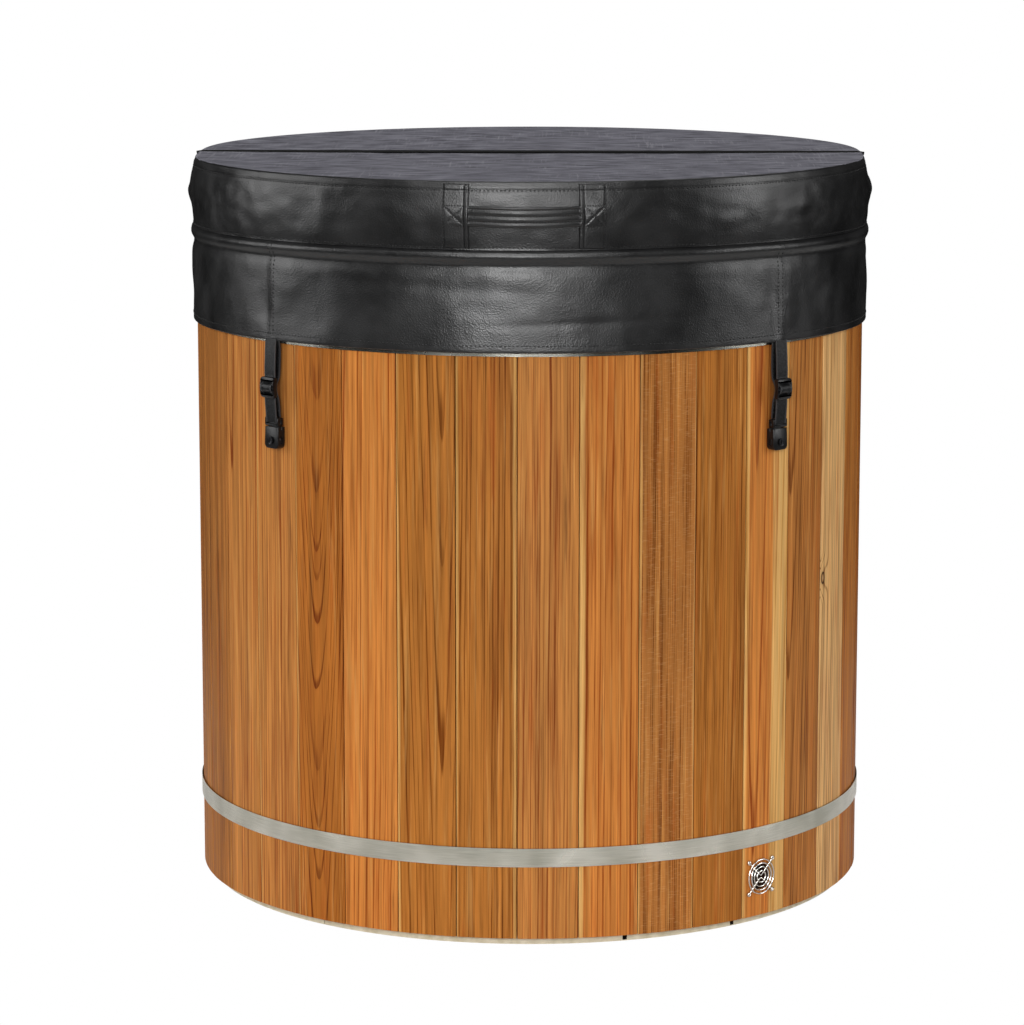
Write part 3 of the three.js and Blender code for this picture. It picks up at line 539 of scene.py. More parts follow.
# Knots, the drift of the tone along each board, and painted shade: ambient occlusion darkens the wood towards
# an almost black brown in the joints, the drilled holes and other crevices.
knot_tint = remap(tree, knot_away, (0, 0.012))
knot_tone = ramp(tree, knot_tint, [(0.0, "#c9a678"), (0.25, "#a87b4d"), (0.4, "#3d2415"), (1.0, "#6b3a1c")])
knot_part = ramp(tree, knot_tint, [(0.0, "#ffffff"), (0.45, "#ffffff"), (0.55, "#7a7a7a"), (1.0, "#000000")])
wood = blend(tree, knot_part, wood, knot_tone)
drift = remap(tree, along_grain(tree, bent, 0.007, 0.35, 4.0, 0.6), (0.3, 0.7), (0.74, 1.22))
wood = add_node(tree, "ShaderNodeVectorMath", {0: wood, "Scale": drift}, operation="SCALE").outputs[0]
# Painted shade: where ambient occlusion finds the wood hemmed in, it is blended towards #34160a.
painted_crevice_shade = add_node(tree, "ShaderNodeAmbientOcclusion", {"Distance": 0.022}, samples=8).outputs["AO"]
wood = blend(tree, remap(tree, painted_crevice_shade, (0, 0.75), (0.22, 1)), "#34160a", wood)
relief = bump(tree, reckon(tree, "ADD", fibre, late_part), 0.22, 0.0005)
coat(tree, wood, remap(tree, dark_part, (0, 1), (0.52, 0.4)), normal=relief, ior=1.48, specular=0.1)

# Drilled holes show the end grain, which has soaked up more oil and is darker; most of its near-black tone is
# painted shade, for the dark inside the holes.
pore_size, pore_and_shade_tones = 0.0016, [(0.35, "#1c0a03"), (0.7, "#52260c")]
end_grain_and_shade = mottled("oiled_cedar_end_grain_and_painted_shade", pore_size, 3.0, pore_and_shade_tones, 0.8, ior=1.48)


def wrap(degrees):
    """An angle as one from -180 to 180."""
    return (degrees + 180) % 360 - 180


def round_angle(point):
    """The angle of a point round the tub, from the front towards the right."""
    return math.degrees(math.atan2(point.x, -point.y))


def mark(piece, label, kind, values):
    """Gives the points of a piece values that its material reads."""
    field = {"FLOAT_VECTOR": "vector", "FLOAT_COLOR": "color", "FLOAT": "value"}[kind]
    piece.data.attributes.new(label, kind, "POINT").data.foreach_set(field, values)


def drilled(face):
    """Whether a face of a stave is the wall of a drilled hole."""
    near = any(hole_away(face.center, degrees, height) < hole * 1.02 for degrees, height, hole in holes)
    return near and face.center.xy.length < stave_face - 0.002


dice = random.Random(42)
half_width = math.radians(stave_degrees / 2) * stave_face
for index in range(stave_count):
    seam = first_seam_degrees + stave_degrees * index
    middle = seam + stave_degrees / 2
    from_front = round(stave_degrees * index)
    from_front -= 360 if from_front > 180 else 0
    tone, side, behind, gap, rise, sap_and_highlight_left, sap_and_highlight_right, fleck_amount = stave_cuts.get(
        from_front,
        (
            dice.choice(list(cedar_tones)),
            dice.choice((-1, 1)) * dice.uniform(4, 120),
            dice.uniform(14, 34),
            dice.uniform(4.0, 8.8),
            dice.uniform(4, 30),
            dice.choice((0, 0, 4, 8)),
            dice.choice((0, 0, 0, 6, 22)),
            dice.choice((0, 0, 0, 1)),
        ),
    )
    sunk = dice.uniform(0, 0.0009)
    shade = dice.uniform(0.94, 1.05)
    along = dice.uniform(0, 40)
    select_only(blank)
    bpy.ops.object.duplicate()
    stave = bpy.context.object
    stave.rotation_euler.z = math.radians(seam - 90) + joint_gap / stave_face / 2
    stave.location = -at(middle, sunk, 0)
    apply_place()
    for degrees, height, hole in holes:
        if 0 < (degrees - seam) % 360 < stave_degrees:
            drill_place, drill_turn = at(degrees, stave_face, height), (quarter, 0, math.radians(degrees))
            cut_away(stave, cylinder(hole, stave_thickness * 3, drill_place, drill_turn, 64))
    places, shapes, knot_places = [], [], []
    knot_degrees, knot_height, knot_size = knots.get(from_front % 360, (0, 0, 0))
    for point in stave.data.vertices:
        turn, height = round_angle(point.co), point.co.z
        lateral = math.radians(wrap(turn - middle)) * stave_face
        depth = stave_face - point.co.xy.length
        places += [lateral + side / 1000, depth + behind / 1000, height + along]
        right_depth = sap_and_highlight_right / 1000 + lateral if sap_and_highlight_right else -1
        left_depth = sap_and_highlight_left / 1000 - lateral if sap_and_highlight_left else -1
        shapes += [1000 / gap, rise / 1000 * height, max(right_depth, left_depth) - half_width]
        if knot_size:
            scale = drawn_knot / knot_size
            across = math.radians(wrap(turn - knot_degrees)) * stave_face
            knot_places += [across * scale, (height - knot_height) * scale, fleck_amount]
        else:
            knot_places += [1, 1, fleck_amount]
    for label, values in (("log_place", places), ("ring_shape", shapes), ("knot_place", knot_places)):
        mark(stave, label, "FLOAT_VECTOR", values)
    for label, code in zip(("early_tone", "late_tone"), cedar_tones[tone]):
        colour = [part * shade for part in linear(code)[:3]] + [1.0]
        mark(stave, label, "FLOAT_COLOR", colour * len(stave.data.vertices))
    select_only(stave)
    finish_piece(f"stave_{index + 1:02d}", cedar, "tub", [f"stave_group_{index // 3 + 1:02d}"])
    # The walls of the drilled holes take the end grain with its painted shade.
    second_finish(stave, end_grain_and_shade, drilled)
bpy.data.objects.remove(blank, do_unlink=True)

# Floor and insulation
# Two planed pine bearers lie on the base and carry a pine floor board. A jacket of closed-cell foam lines the
# staves and the floor. They are out of sight below the liner, so the CAD solids stay and take their finish.
pine_rings, pine_tones = (0.006, 0.5, 0.006), [(0.35, "#b98d55"), (0.65, "#dcbc86")]
pine = mottled("planed_pine", pine_rings, 3.0, pine_tones, 0.6, ior=1.48)

foam, tree = new_material("closed_cell_foam")
cell_size = 0.003
place = add_node(tree, "ShaderNodeTexCoord").outputs["Object"]
cells = add_node(tree, "ShaderNodeTexVoronoi", {"Vector": place, "Scale": 1 / cell_size}).outputs["Distance"]
tint = ramp(tree, cells, [(0, "#e6e2d4"), (1, "#c9c3ae")])
coat(tree, tint, 0.9, ior=1.5, normal=bump(tree, cells, 0.3, 0.001))


def paint_solids(material, *node_names):
    """Gives CAD solids that stay in the scene their finish."""
    for node_name in node_names:
        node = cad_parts[node_name]
        node.data.materials.clear()
        node.data.materials.append(material)


paint_solids(pine, "floor_bearer_left", "floor_bearer_right", "floor_board")
paint_solids(foam, "insulation_jacket")


# Liner
# A round vessel moulded in polyethylene, with a rounded floor and a flat rim that rests on the stave tops.
# Its profile is drawn once and turned about the tub's axis.
def empty_piece():
    """A piece without points yet, that is left active."""
    begin()
    bpy.ops.mesh.primitive_circle_add(vertices=4, radius=0.01)
    edit_all()
    bpy.ops.mesh.delete(type="VERT")
    bpy.ops.object.mode_set(mode="OBJECT")
    return bpy.context.object


def turn_profile(profile, steps=192, angle=2 * math.pi, start=0.0):
    """A piece turned about the tub's axis from (radius, height) points, left open for editing."""
    spots = [(r * math.sin(start), -r * math.cos(start), z) for r, z in profile]
    empty_piece().data.from_pydata(spots, [(i, i + 1) for i in range(len(spots) - 1)], [])
    edit_all()
    spin_all(steps, -angle)


def corner(centre_r, centre_z, radius, first, last, steps):
    """Points of a rounded corner in a profile, from one angle to another in degrees."""
    angles = [math.radians(first + (last - first) * i / steps) for i in range(steps + 1)]
    return [(centre_r + radius * math.cos(a), centre_z + radius * math.sin(a)) for a in angles]


liner_low, liner_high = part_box("liner")
liner_outside, liner_inside = 0.4708, 0.4648
liner_bottom, rim_top = liner_low.z, liner_high.z
rim_under, floor_top = rim_top - 0.009, liner_bottom + 0.008
floor_curve, rim_curve, mouth_curve = 0.03, 0.003, 0.004
outer_curve = floor_curve + liner_outside - liner_inside
rim_edge = liner_high.x - rim_curve
turn_profile(
    [(0.0, liner_bottom)]
    + corner(liner_outside - outer_curve, liner_bottom + outer_curve, outer_curve, -90, 0, 8)
    + [(liner_outside, rim_under), (rim_edge, rim_under)]
    + corner(rim_edge, rim_under + rim_curve, rim_curve, -80, 0, 3)
    + corner(rim_edge, rim_top - rim_curve, rim_curve, 10, 90, 3)
    + corner(liner_inside + mouth_curve, rim_top - mouth_curve, mouth_curve, 90, 180, 4)
    + corner(liner_inside - floor_curve, floor_top + floor_curve, floor_curve, 0, -90, 8)
    + [(0.0, floor_top)]
)

# Rotationally moulded polyethylene: pale blue-grey, faintly pebbled and half matt.
pebble_size, pebble_tones, pebble_relief = 0.0025, [(0, "#b5bec2"), (1, "#cbd3d6")], (0.25, 0.0005)
liner_plastic = mottled("moulded_polyethylene", pebble_size, 2.0, pebble_tones, 0.42, pebble_relief, ior=1.51)
finish_piece("moulded_liner", liner_plastic, "tub", ["liner"])

# Bands
# Two flat stainless strips draw the staves together. Each is bent round the tub, its ends are turned out as
# lugs at the back, and a bolt pulls the lugs together.
band_inside, band_outside, band_width = 0.5337, 0.5352, 0.0286
band_gap = 0.020
lug_thickness, lug_end, lug_curve = 0.003, 0.5447, 0.004
bolt_out, bolt_radius, bolt_short = 0.5402, 0.0025, 0.004
head_length, head_radius, head_ease = 0.005, 0.0045, 0.0006

# Rolled stainless sheet, brushed along its length: fine streaks run round the tub and blur what it reflects.
steel, tree = new_material("brushed_stainless_steel")
streak_long, streak_fine, cloud_size = 0.05, 0.0012, 0.09
streak_place = read_mark(tree, "round_place", "Vector")
streaks = noise_at(tree, (streak_long, streak_fine, streak_fine), 3.0, streak_place)
clouds = noise_at(tree, cloud_size, 2.0, streak_place)
blended = add_node(tree, "ShaderNodeMix", {0: 0.3, 2: clouds, 3: streaks}).outputs[0]
tint = ramp(tree, blended, [(0.36, "#babaad"), (0.64, "#f2f1e6")])
gloss = remap(tree, clouds, (0, 1), (0.14, 0.36))
coat(tree, tint, gloss, metallic=1.0, normal=bump(tree, streaks, 0.12, 0.0002))


def mark_round(piece, middle_degrees=0.0):
    """Gives each point its distance round the tub from a middle line, its radius and its height."""
    values = []
    for point in piece.data.vertices:
        around = math.radians(wrap(round_angle(point.co) - middle_degrees)) * stave_face
        values += [around, point.co.xy.length, point.co.z]
    mark(piece, "round_place", "FLOAT_VECTOR", values)


def join_to(piece, others):
    """Joins other meshes into a piece, and leaves it active."""
    select_only(piece)
    for other in others:
        other.select_set(True)
    bpy.ops.object.join()


half_gap = math.asin(band_gap / 2 / band_outside)
for node_name in ("lower_band", "upper_band"):
    band_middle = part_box(node_name)[0].z + band_width / 2
    strip_place = (0, (band_inside + band_outside) / 2, band_middle)
    strip = plane(band_outside - band_inside, band_width, strip_place, (quarter, 0, quarter))
    edit_all()
    bpy.ops.transform.rotate(value=half_gap, orient_axis="Z", center_override=(0, 0, 0))
    spin_all(288, 2 * math.pi - 2 * half_gap)
    lugs = []
    for side in (-1, 1):
        lug_place = (side * (band_gap + lug_thickness) / 2, (band_inside + lug_end) / 2, band_middle)
        lugs.append(block((lug_thickness, lug_end - band_inside, band_width), lug_place))
        ease(lug_curve, 4, lambda middle: middle.y > lug_end - 0.001 and abs(middle.z - band_middle) > 0.01)
    join_to(strip, lugs)
    mark_round(strip)
    finish_piece(f"{node_name}_strip", steel, "tub", [node_name])

    # A hexagon-headed bolt passes through both lugs into a nut.
    bolt_low, bolt_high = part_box(f"{node_name}_bolt")
    bolt_height = (bolt_low.z + bolt_high.z) / 2
    parts = []
    for x, radius, length, sides in (
        (0, bolt_radius, bolt_high.x - bolt_low.x - bolt_short, 24),
        (bolt_low.x + head_length / 2, head_radius, head_length, 6),
        (bolt_high.x - head_length / 2, head_radius, head_length, 6),
    ):
        parts.append(cylinder(radius, length, (x, bolt_out, bolt_height), (0, quarter, 0), sides))
        apply_place()
        if sides == 6:
            ease(head_ease, 2)
    join_to(parts[0], parts[1:])
    mark_round(parts[0])
    finish_piece(f"{node_name}_bolt_and_nut", steel, "tub", [f"{node_name}_bolt"])

# Vent guard
# A guard of bright plated wire covers the round vent low on the right: four rings welded on two wires, each
# bent back in the middle and flattened into an eye at both ends. Four dome-headed screws hold it in place.
guard_rings = (0.027, 0.0212, 0.0154, 0.009)
guard_wire = 0.00115
ring_out, arm_out = 0.5357, 0.5347
screw_square, screw_head, dome_share = 0.025, 0.0037, 0.62
wire_bend, wire_start = 0.0028, -0.0006
arm_short, dip_start, dip_length, dip_depth = 0.0005, 0.019, 0.006, 0.0004
eye_radius, eye_thickness, eye_behind, eye_ease = 0.0034, 0.0009, 0.0008, 0.0002
recess_sizes = (0.0032, 0.0006, 0.0016)
vent_turn = (quarter, 0, math.radians(vent_degrees))


def clamp(value):
    """A value held between 0 and 1."""
    return min(max(value, 0), 1)


def on_vent(sideways, out, height):
    """The point beside the vent's middle line, at a distance from the tub's axis and a height."""
    across, up = math.cos(vent_turn[2]), math.sin(vent_turn[2])
    return Vector((sideways * across + out * up, sideways * up - out * across, height))


def bend_wire(points, radius, closed=False, sides=3):
    """A round wire through the points, as a mesh that is left active."""
    begin()
    path = bpy.data.curves.new("wire_path", "CURVE")
    path.dimensions = "3D"
    path.bevel_depth = radius
    path.bevel_resolution = sides
    path.use_fill_caps = not closed
    run = path.splines.new("POLY")
    run.points.add(len(points) - 1)
    for point, spot in zip(run.points, points):
        point.co = (*spot, 1)
    run.use_cyclic_u = closed
    wire = bpy.data.objects.new("wire", path)
    bpy.context.scene.collection.objects.link(wire)
    select_only(wire)
    bpy.ops.object.convert(target="MESH")
    return bpy.context.object


guard_parts = []
ring_steps, arm_steps = 48, 24
for radius in guard_rings:
    loop = []
    for step in range(ring_steps):
        angle = 2 * math.pi * step / ring_steps
        loop.append(on_vent(radius * math.sin(angle), ring_out, vent_height + radius * math.cos(angle)))
    guard_parts.append(bend_wire(loop, guard_wire, closed=True))
for slope in (-1, 1):
    arm = []
    for step in range(-arm_steps, arm_steps + 1):
        reach = (screw_square - arm_short) * step / arm_steps
        out = arm_out - dip_depth * clamp((abs(reach) - dip_start) / dip_length)
        rise = math.sqrt(reach**2 + wire_bend**2) + wire_start * (1 - abs(reach) / screw_square)
        arm.append(on_vent(reach, out, vent_height + slope * rise))
    guard_parts.append(bend_wire(arm, guard_wire))
    for end in (-1, 1):
        eye_place = on_vent(end * screw_square, arm_out - eye_behind, vent_height + slope * screw_square)
        guard_parts.append(cylinder(eye_radius, eye_thickness, eye_place, vent_turn))
        apply_place()
        ease(eye_ease, 2)
join_to(guard_parts[0], guard_parts[1:])

# Nickel-plated steel wire: bright, slightly warm, with small dulled patches.
dull_size, dull_tones = 0.004, [(0, "#d6d2c9"), (1, "#f6f4ee")]
plated = mottled("nickel_plated_steel", dull_size, 2.0, dull_tones, (0.12, 0.34), metallic=1.0)
finish_piece("wire_vent_guard", plated, "tub", ["vent_guard"])

# The screws are low domes with a cross recess.
for number in range(1, 5):
    screw_low, screw_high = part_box(f"vent_screw_{number}")
    screw_middle = (screw_low + screw_high) / 2
    begin()
    bpy.ops.mesh.primitive_uv_sphere_add(segments=32, ring_count=16, radius=screw_head)
    dome = bpy.context.object
    edit_all()
    bpy.ops.mesh.bisect(plane_co=(0, 0, 0), plane_no=(0, 0, 1), use_fill=True, clear_inner=True)
    bpy.ops.object.mode_set(mode="OBJECT")
    dome.scale = (1, 1, dome_share)
    apply_place()
    for turned in (0, 90):
        recess_turn = math.radians(turned + 25 * number)
        cut_away(dome, block(recess_sizes, (0, 0, screw_head * dome_share), recess_turn))
    sideways = screw_middle.x * math.cos(vent_turn[2]) + screw_middle.y * math.sin(vent_turn[2])
    dome.rotation_euler = vent_turn
    dome.location = on_vent(sideways, arm_out - 0.0002, screw_middle.z)
    finish_piece(f"vent_dome_screw_{number}", plated, "tub", [f"vent_screw_{number}"])

# Drain
# A brass fitting goes through the wall at the back, with a flange inside, a hexagon nut outside and a ball
# valve on its end. The CAD solids have these shapes, so they stay and take the finish of cast brass.
brass, tree = new_material("cast_brass")
cast_size, tarnish_size = 0.0012, 0.02
tarnish = noise_at(tree, tarnish_size, 3.0)
tint = ramp(tree, tarnish, [(0.3, "#a5833d"), (0.7, "#cfae62")])
relief = bump(tree, noise_at(tree, cast_size, 3.0), 0.18, 0.0003)
coat(tree, tint, remap(tree, tarnish, (0, 1), (0.26, 0.5)), metallic=1.0, normal=relief)
paint_solids(brass, "drain_fitting", "drain_nut", "drain_valve_body")

# Moulded black nylon of the valve's lever and of the clips: satin, with a fine pebble and soft highlights.
black_plastic, tree = new_material("moulded_black_nylon")
pebble_size, rub_size = 0.0009, 0.011
rub = noise_at(tree, rub_size, 2.0)
tint = ramp(tree, rub, [(0, "#0b0b0c"), (1, "#161618")])
relief = bump(tree, noise_at(tree, pebble_size, 2.0), 0.12, 0.0002)
coat(tree, tint, remap(tree, rub, (0, 1), (0.24, 0.42)), normal=relief, ior=1.53, specular=0.32)
paint_solids(black_plastic, "drain_valve_lever")

# Cover
# Two half-round foam cores in sewn vinyl jackets lie on the rim and fold on each other. The top is heathered
# dark grey vinyl. The side is black, with a stitched binding under its edge, and hangs over the rim.
halves = {"front": 0, "rear": 180}
jacket_low, jacket_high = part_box("cover_front_jacket")
cover_bottom, cover_top = jacket_low.z, jacket_high.z
cover_radius, cover_bulge, cover_dish = 0.5395, 0.0048, 0.003
fold_half_gap = 0.0015
binding_drop, binding_groove = 0.0135, 0.0009
lip_front, lip_sides, lip_inside, lip_fold = 0.009, 0.017, 0.5372, 0.004
top_edge, tolerance = 0.004, 1e-4
dent_depth, ear_size, ear_degrees, ear_share = 0.0026, 0.0065, 5, 0.16
pinch_depth, pinch_degrees, slack_degrees = 0.0085, 13, 34
measured_round = 0.54


def bell(offset, width):
    """A soft hump: 1 at no offset, and almost 0 at twice the width."""
    return math.exp(-((offset / width) ** 2))


def from_fold(degrees):
    """Degrees from the nearer end of the fold."""
    return 90 - abs((degrees + 90) % 180 - 90)


def cover_lip(degrees):
    """Height of the cover's lower edge, which hangs a little further down beside the fold."""
    return cover_bottom - lip_front - (lip_sides - lip_front) * math.sin(math.radians(degrees)) ** 4


def wrinkle(degrees, height, across, along):
    """Soft unevenness from -1 to 1 on the round of the tub, at a size round it and a size up it."""
    return noise.noise(at(degrees, measured_round / across, height / along))


def end_pinch(degrees):
    """How far the cover is drawn in at the ends of its fold, along its upper edge."""
    return pinch_depth * bell(from_fold(degrees), pinch_degrees)


def cover_side(degrees, height):
    """Radius of the cover's side, with its dents and with the ears beside the fold."""
    lip = cover_lip(degrees)
    share = clamp((height - lip) / (cover_top - lip))
    ear = ear_size * bell(from_fold(degrees), ear_degrees) * bell(share - 0.5, ear_share)
    slack = 0.6 + 0.6 * bell(from_fold(degrees), slack_degrees)
    dents = 0.0034 * wrinkle(degrees, height, 0.075, 0.05) + 0.0018 * wrinkle(degrees, height, 0.026, 0.02)
    dents = dent_depth * math.tanh(slack * dents / dent_depth) * math.sin(math.pi * share) ** 0.5
    groove = binding_groove * bell(cover_top - binding_drop - height, 0.0016)
    pinch = end_pinch(degrees) * (0.38 + 0.62 * share**2)
    return cover_radius + cover_bulge * math.sin(math.pi * share) + ear + dents - groove - pinch


# Marine vinyl with an embossed leather grain: near black, with broad soft highlights that break up on it.
# The real grain is about 1 mm, and is drawn coarser here so that it shows.
black_vinyl, tree = new_material("embossed_black_vinyl")
grain_size, crease_size, worn_size = 0.0020, 0.08, 0.07
place = add_node(tree, "ShaderNodeTexCoord").outputs["Object"]
grain = {"Vector": place, "Scale": 1 / grain_size}
grain = add_node(tree, "ShaderNodeTexVoronoi", grain, feature="SMOOTH_F1")
worn = noise_at(tree, worn_size, 3.0)
tint = ramp(tree, worn, [(0.35, "#0a0a0b"), (0.7, "#121213")])
fine = bump(tree, grain.outputs["Distance"], 0.3, 0.001)
broad = bump(tree, noise_at(tree, crease_size, 1.5), 0.5, 0.008, Normal=fine)
coat(tree, tint, remap(tree, worn, (0.3, 0.7), (0.33, 0.47)), normal=broad, ior=1.52, specular=0.75)

# Heathered grey vinyl: a printed weave, with fine streaks across the tub and paler flecks that cross them.
grey_vinyl, tree = new_material("heathered_grey_vinyl")
streak_length, streak_width = 0.04, 0.0065
heather_length, heather_width = 0.05, 0.019
fleck_length, fleck_width, patch_size = 0.12, 0.0045, 0.11
streaks = noise_at(tree, (streak_length, streak_width, 1.0), 6.0, roughness=0.7)
heather = noise_at(tree, (heather_length, heather_width, 1.0), 3.0, roughness=0.6)
weave = add_node(tree, "ShaderNodeMix", {0: 0.5, 2: streaks, 3: heather}).outputs[0]
flecks = noise_at(tree, (fleck_width, fleck_length, 1.0), 3.0, roughness=0.6)
patches = remap(tree, noise_at(tree, patch_size, 3.0), (0.42, 0.66))
fleck_part = reckon(tree, "MULTIPLY", remap(tree, flecks, (0.54, 0.7), (0, 0.6)), patches)
cloth = blend(tree, fleck_part, ramp(tree, weave, [(0.36, "#4e4d56"), (0.64, "#a2a1ac")]), "#b5b4bc")
coat(tree, cloth, 0.65, normal=bump(tree, streaks, 0.2, 0.0006), ior=1.5, specular=0.12)

side_steps, top_steps = 44, 26
side_top = cover_top - top_edge
cover_profile = [(0.0, cover_bottom), (lip_inside, cover_bottom)]
cover_profile += [(radius, cover_bottom - lip_fold) for radius in (lip_inside, cover_radius)]
for step in range(1, side_steps):
    cover_profile.append((cover_radius, cover_bottom + (side_top - cover_bottom) * step / side_steps))
cover_profile += corner(cover_radius - top_edge, side_top, top_edge, 0, 80, 5)
for step in range(top_steps + 1):
    cover_profile.append(((cover_radius - 0.006) * (1 - step / top_steps), cover_top))


def dent_cover(point, middle_degrees):
    """Moves a point of a turned cover half to the lip, the dented side or the dished top."""
    flat_radius, height = point.xy.length, point.z
    radius = flat_radius
    degrees = round_angle(point) if radius > 1e-6 else middle_degrees
    on_side = radius > cover_radius - tolerance
    if height < cover_bottom - 0.001:
        height = cover_lip(degrees)
        outside = cover_side(degrees, height) + 0.0004
        radius = outside if on_side else min(radius, outside - 0.0012)
    elif on_side and height < side_top - tolerance:
        lip = cover_lip(degrees)
        height = lip + (cover_top - lip) * (height - cover_bottom) / (cover_top - cover_bottom)
        radius = cover_side(degrees, height)
    elif height > cover_top - 1e-6:
        flat = 0.0012 * noise.noise(Vector((point.x / 0.16, point.y / 0.16, 3.0)))
        flat += 0.0005 * noise.noise(Vector((point.x / 0.05, point.y / 0.05, 8.0)))
        height += (flat - cover_dish) * (1 - (radius / cover_radius) ** 2)
        radius -= end_pinch(degrees) * (radius / cover_radius) ** 8
    elif radius > cover_radius - 0.005 and height > side_top - tolerance:
        radius -= end_pinch(degrees)
    scale = radius / flat_radius if flat_radius > 1e-6 else 1
    return Vector((point.x * scale, point.y * scale, height))


def cut_at_fold(middle_degrees, gap, fill):
    """Cuts the active half of the cover off beside the fold, and leaves it open for editing."""
    face_out = -math.cos(math.radians(middle_degrees))
    edit_all()
    bpy.ops.mesh.bisect(
        plane_co=(0, face_out * gap, 0), plane_no=(0, -face_out, 0), use_fill=fill, clear_outer=True
    )


def on_cover_top(face):
    """Whether a face of a cover half belongs to its grey top."""
    inside = face.center.xy.length < cover_radius - 0.003
    return inside and face.normal.z > 0.75 and face.center.z > cover_top - 0.006


for half, middle in halves.items():
    turn_profile(cover_profile, 270, math.pi, math.radians(middle - 90))
    bpy.ops.object.mode_set(mode="OBJECT")
    jacket = bpy.context.object
    for point in jacket.data.vertices:
        point.co = dent_cover(point.co, middle)
    cut_at_fold(middle, fold_half_gap, False)
    bpy.ops.mesh.select_mode(type="EDGE")
    bpy.ops.mesh.select_all(action="DESELECT")
    bpy.ops.mesh.select_non_manifold(
        extend=False, use_wire=False, use_multi_face=False, use_non_contiguous=False, use_verts=False
    )
    bpy.ops.mesh.fill(use_beauty=True)
    bpy.ops.mesh.select_all(action="SELECT")
    bpy.ops.mesh.normals_make_consistent(inside=False)
    bpy.ops.object.mode_set(mode="OBJECT")
    mark_round(jacket, middle)
    body, node_name = f"cover_{half}", f"cover_{half}_jacket"
    finish_piece(f"{half}_cover_half", black_vinyl, body, [node_name], 50)
    second_finish(jacket, grey_vinyl, on_cover_top)

# The core of each half is a cut foam block, a little smaller than its jacket.
core_clearance, core_ease = 0.006, 0.003
core_height = cover_top - cover_bottom - 2 * core_clearance
core_place = (0, 0, (cover_top + cover_bottom) / 2)
for half, middle in halves.items():
    core = cylinder(cover_radius - core_clearance, core_height, core_place, sides=192)
    cut_at_fold(middle, core_clearance, True)
    bpy.ops.object.mode_set(mode="OBJECT")
    for point in core.data.vertices:
        if point.co.xy.length > 0.5 * cover_radius:
            point.co.x -= point.co.xy.normalized().x * end_pinch(round_angle(point.co))
    use_modifier(core, "BEVEL", width=core_ease, segments=2)
    finish_piece(f"{half}_foam_core", foam, f"cover_{half}", [f"cover_{half}_core"])

# Fold piping
# A cord covered in black vinyl is sewn along the fold edge of the rear half, and its ends dip a little. Its
# finish
# is painted shade: darker and duller than the vinyl and without a grain, for the shadow between the two
# halves.
piping_low, piping_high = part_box("fold_piping")
piping_radius, piping_end = 0.0026, cover_radius - 0.006
piping_y, piping_z = (piping_low.y + piping_high.y) / 2 - 0.0008, cover_top - 0.0006
piping_steps, dip_steps, end_dip = 90, 3, 0.0016
rub_size, piping_shade_tones = 0.02, [(0, "#050505"), (1, "#101010")]
# Painted shade: a near-black, low-gloss finish on the piping.
cord_painted_shade = mottled("piping_painted_shade", rub_size, 2.0, piping_shade_tones, 0.6, ior=1.5, specular=0.15)
cord_points = []
for step in range(-piping_steps, piping_steps + 1):
    x = piping_end * step / piping_steps
    dip = end_dip * (max(abs(step) - piping_steps + dip_steps, 0) / dip_steps) ** 2
    lift = 0.0002 * noise.noise(Vector((x / 0.04, 5.0, 0.0))) - dip
    sway = 0.0006 * noise.noise(Vector((x / 0.07, 9.0, 0.0)))
    cord_points.append(Vector((x, piping_y + sway, piping_z + lift)))
bend_wire(cord_points, piping_radius, sides=4)
finish_piece("covered_fold_piping", cord_painted_shade, "cover_rear", ["fold_piping"], 60)

# Skirts
# A curtain of black vinyl is sewn under the lip of each half, with a soft roll at the top, a lapped seam at
# each strap and a turned hem. It hangs free of the staves, and its folds come from how it is sewn and packed.
skirt_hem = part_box("front_skirt")[0].z + 0.008
skirt_side_sag, skirt_end_gap = 0.008, 0.003
skirt_seams = (-45, 45)
skirt_top, skirt_least = 0.5406, 0.5362
hem_sides, hem_flare, hem_curl = 0.5386, 0.0114, 0.0016
skirt_drop, skirt_round = 0.158, 0.545
roll_depth, roll_share = 0.0056, 0.15
valley_depth, tuck_depth, tuck_share, end_draw = 0.0022, 0.0052, 0.022, 0.0028
drape_depth, lap_depth, lap_half = 0.0013, 0.0009, 0.009
crease_depth, wave_depth = 0.0008, 0.0013
vinyl_thickness = 0.0014


def hem_height(degrees):
    """Height of the skirt's hem, which sags a little where the two skirts meet."""
    return skirt_hem - skirt_side_sag * math.sin(math.radians(degrees)) ** 4


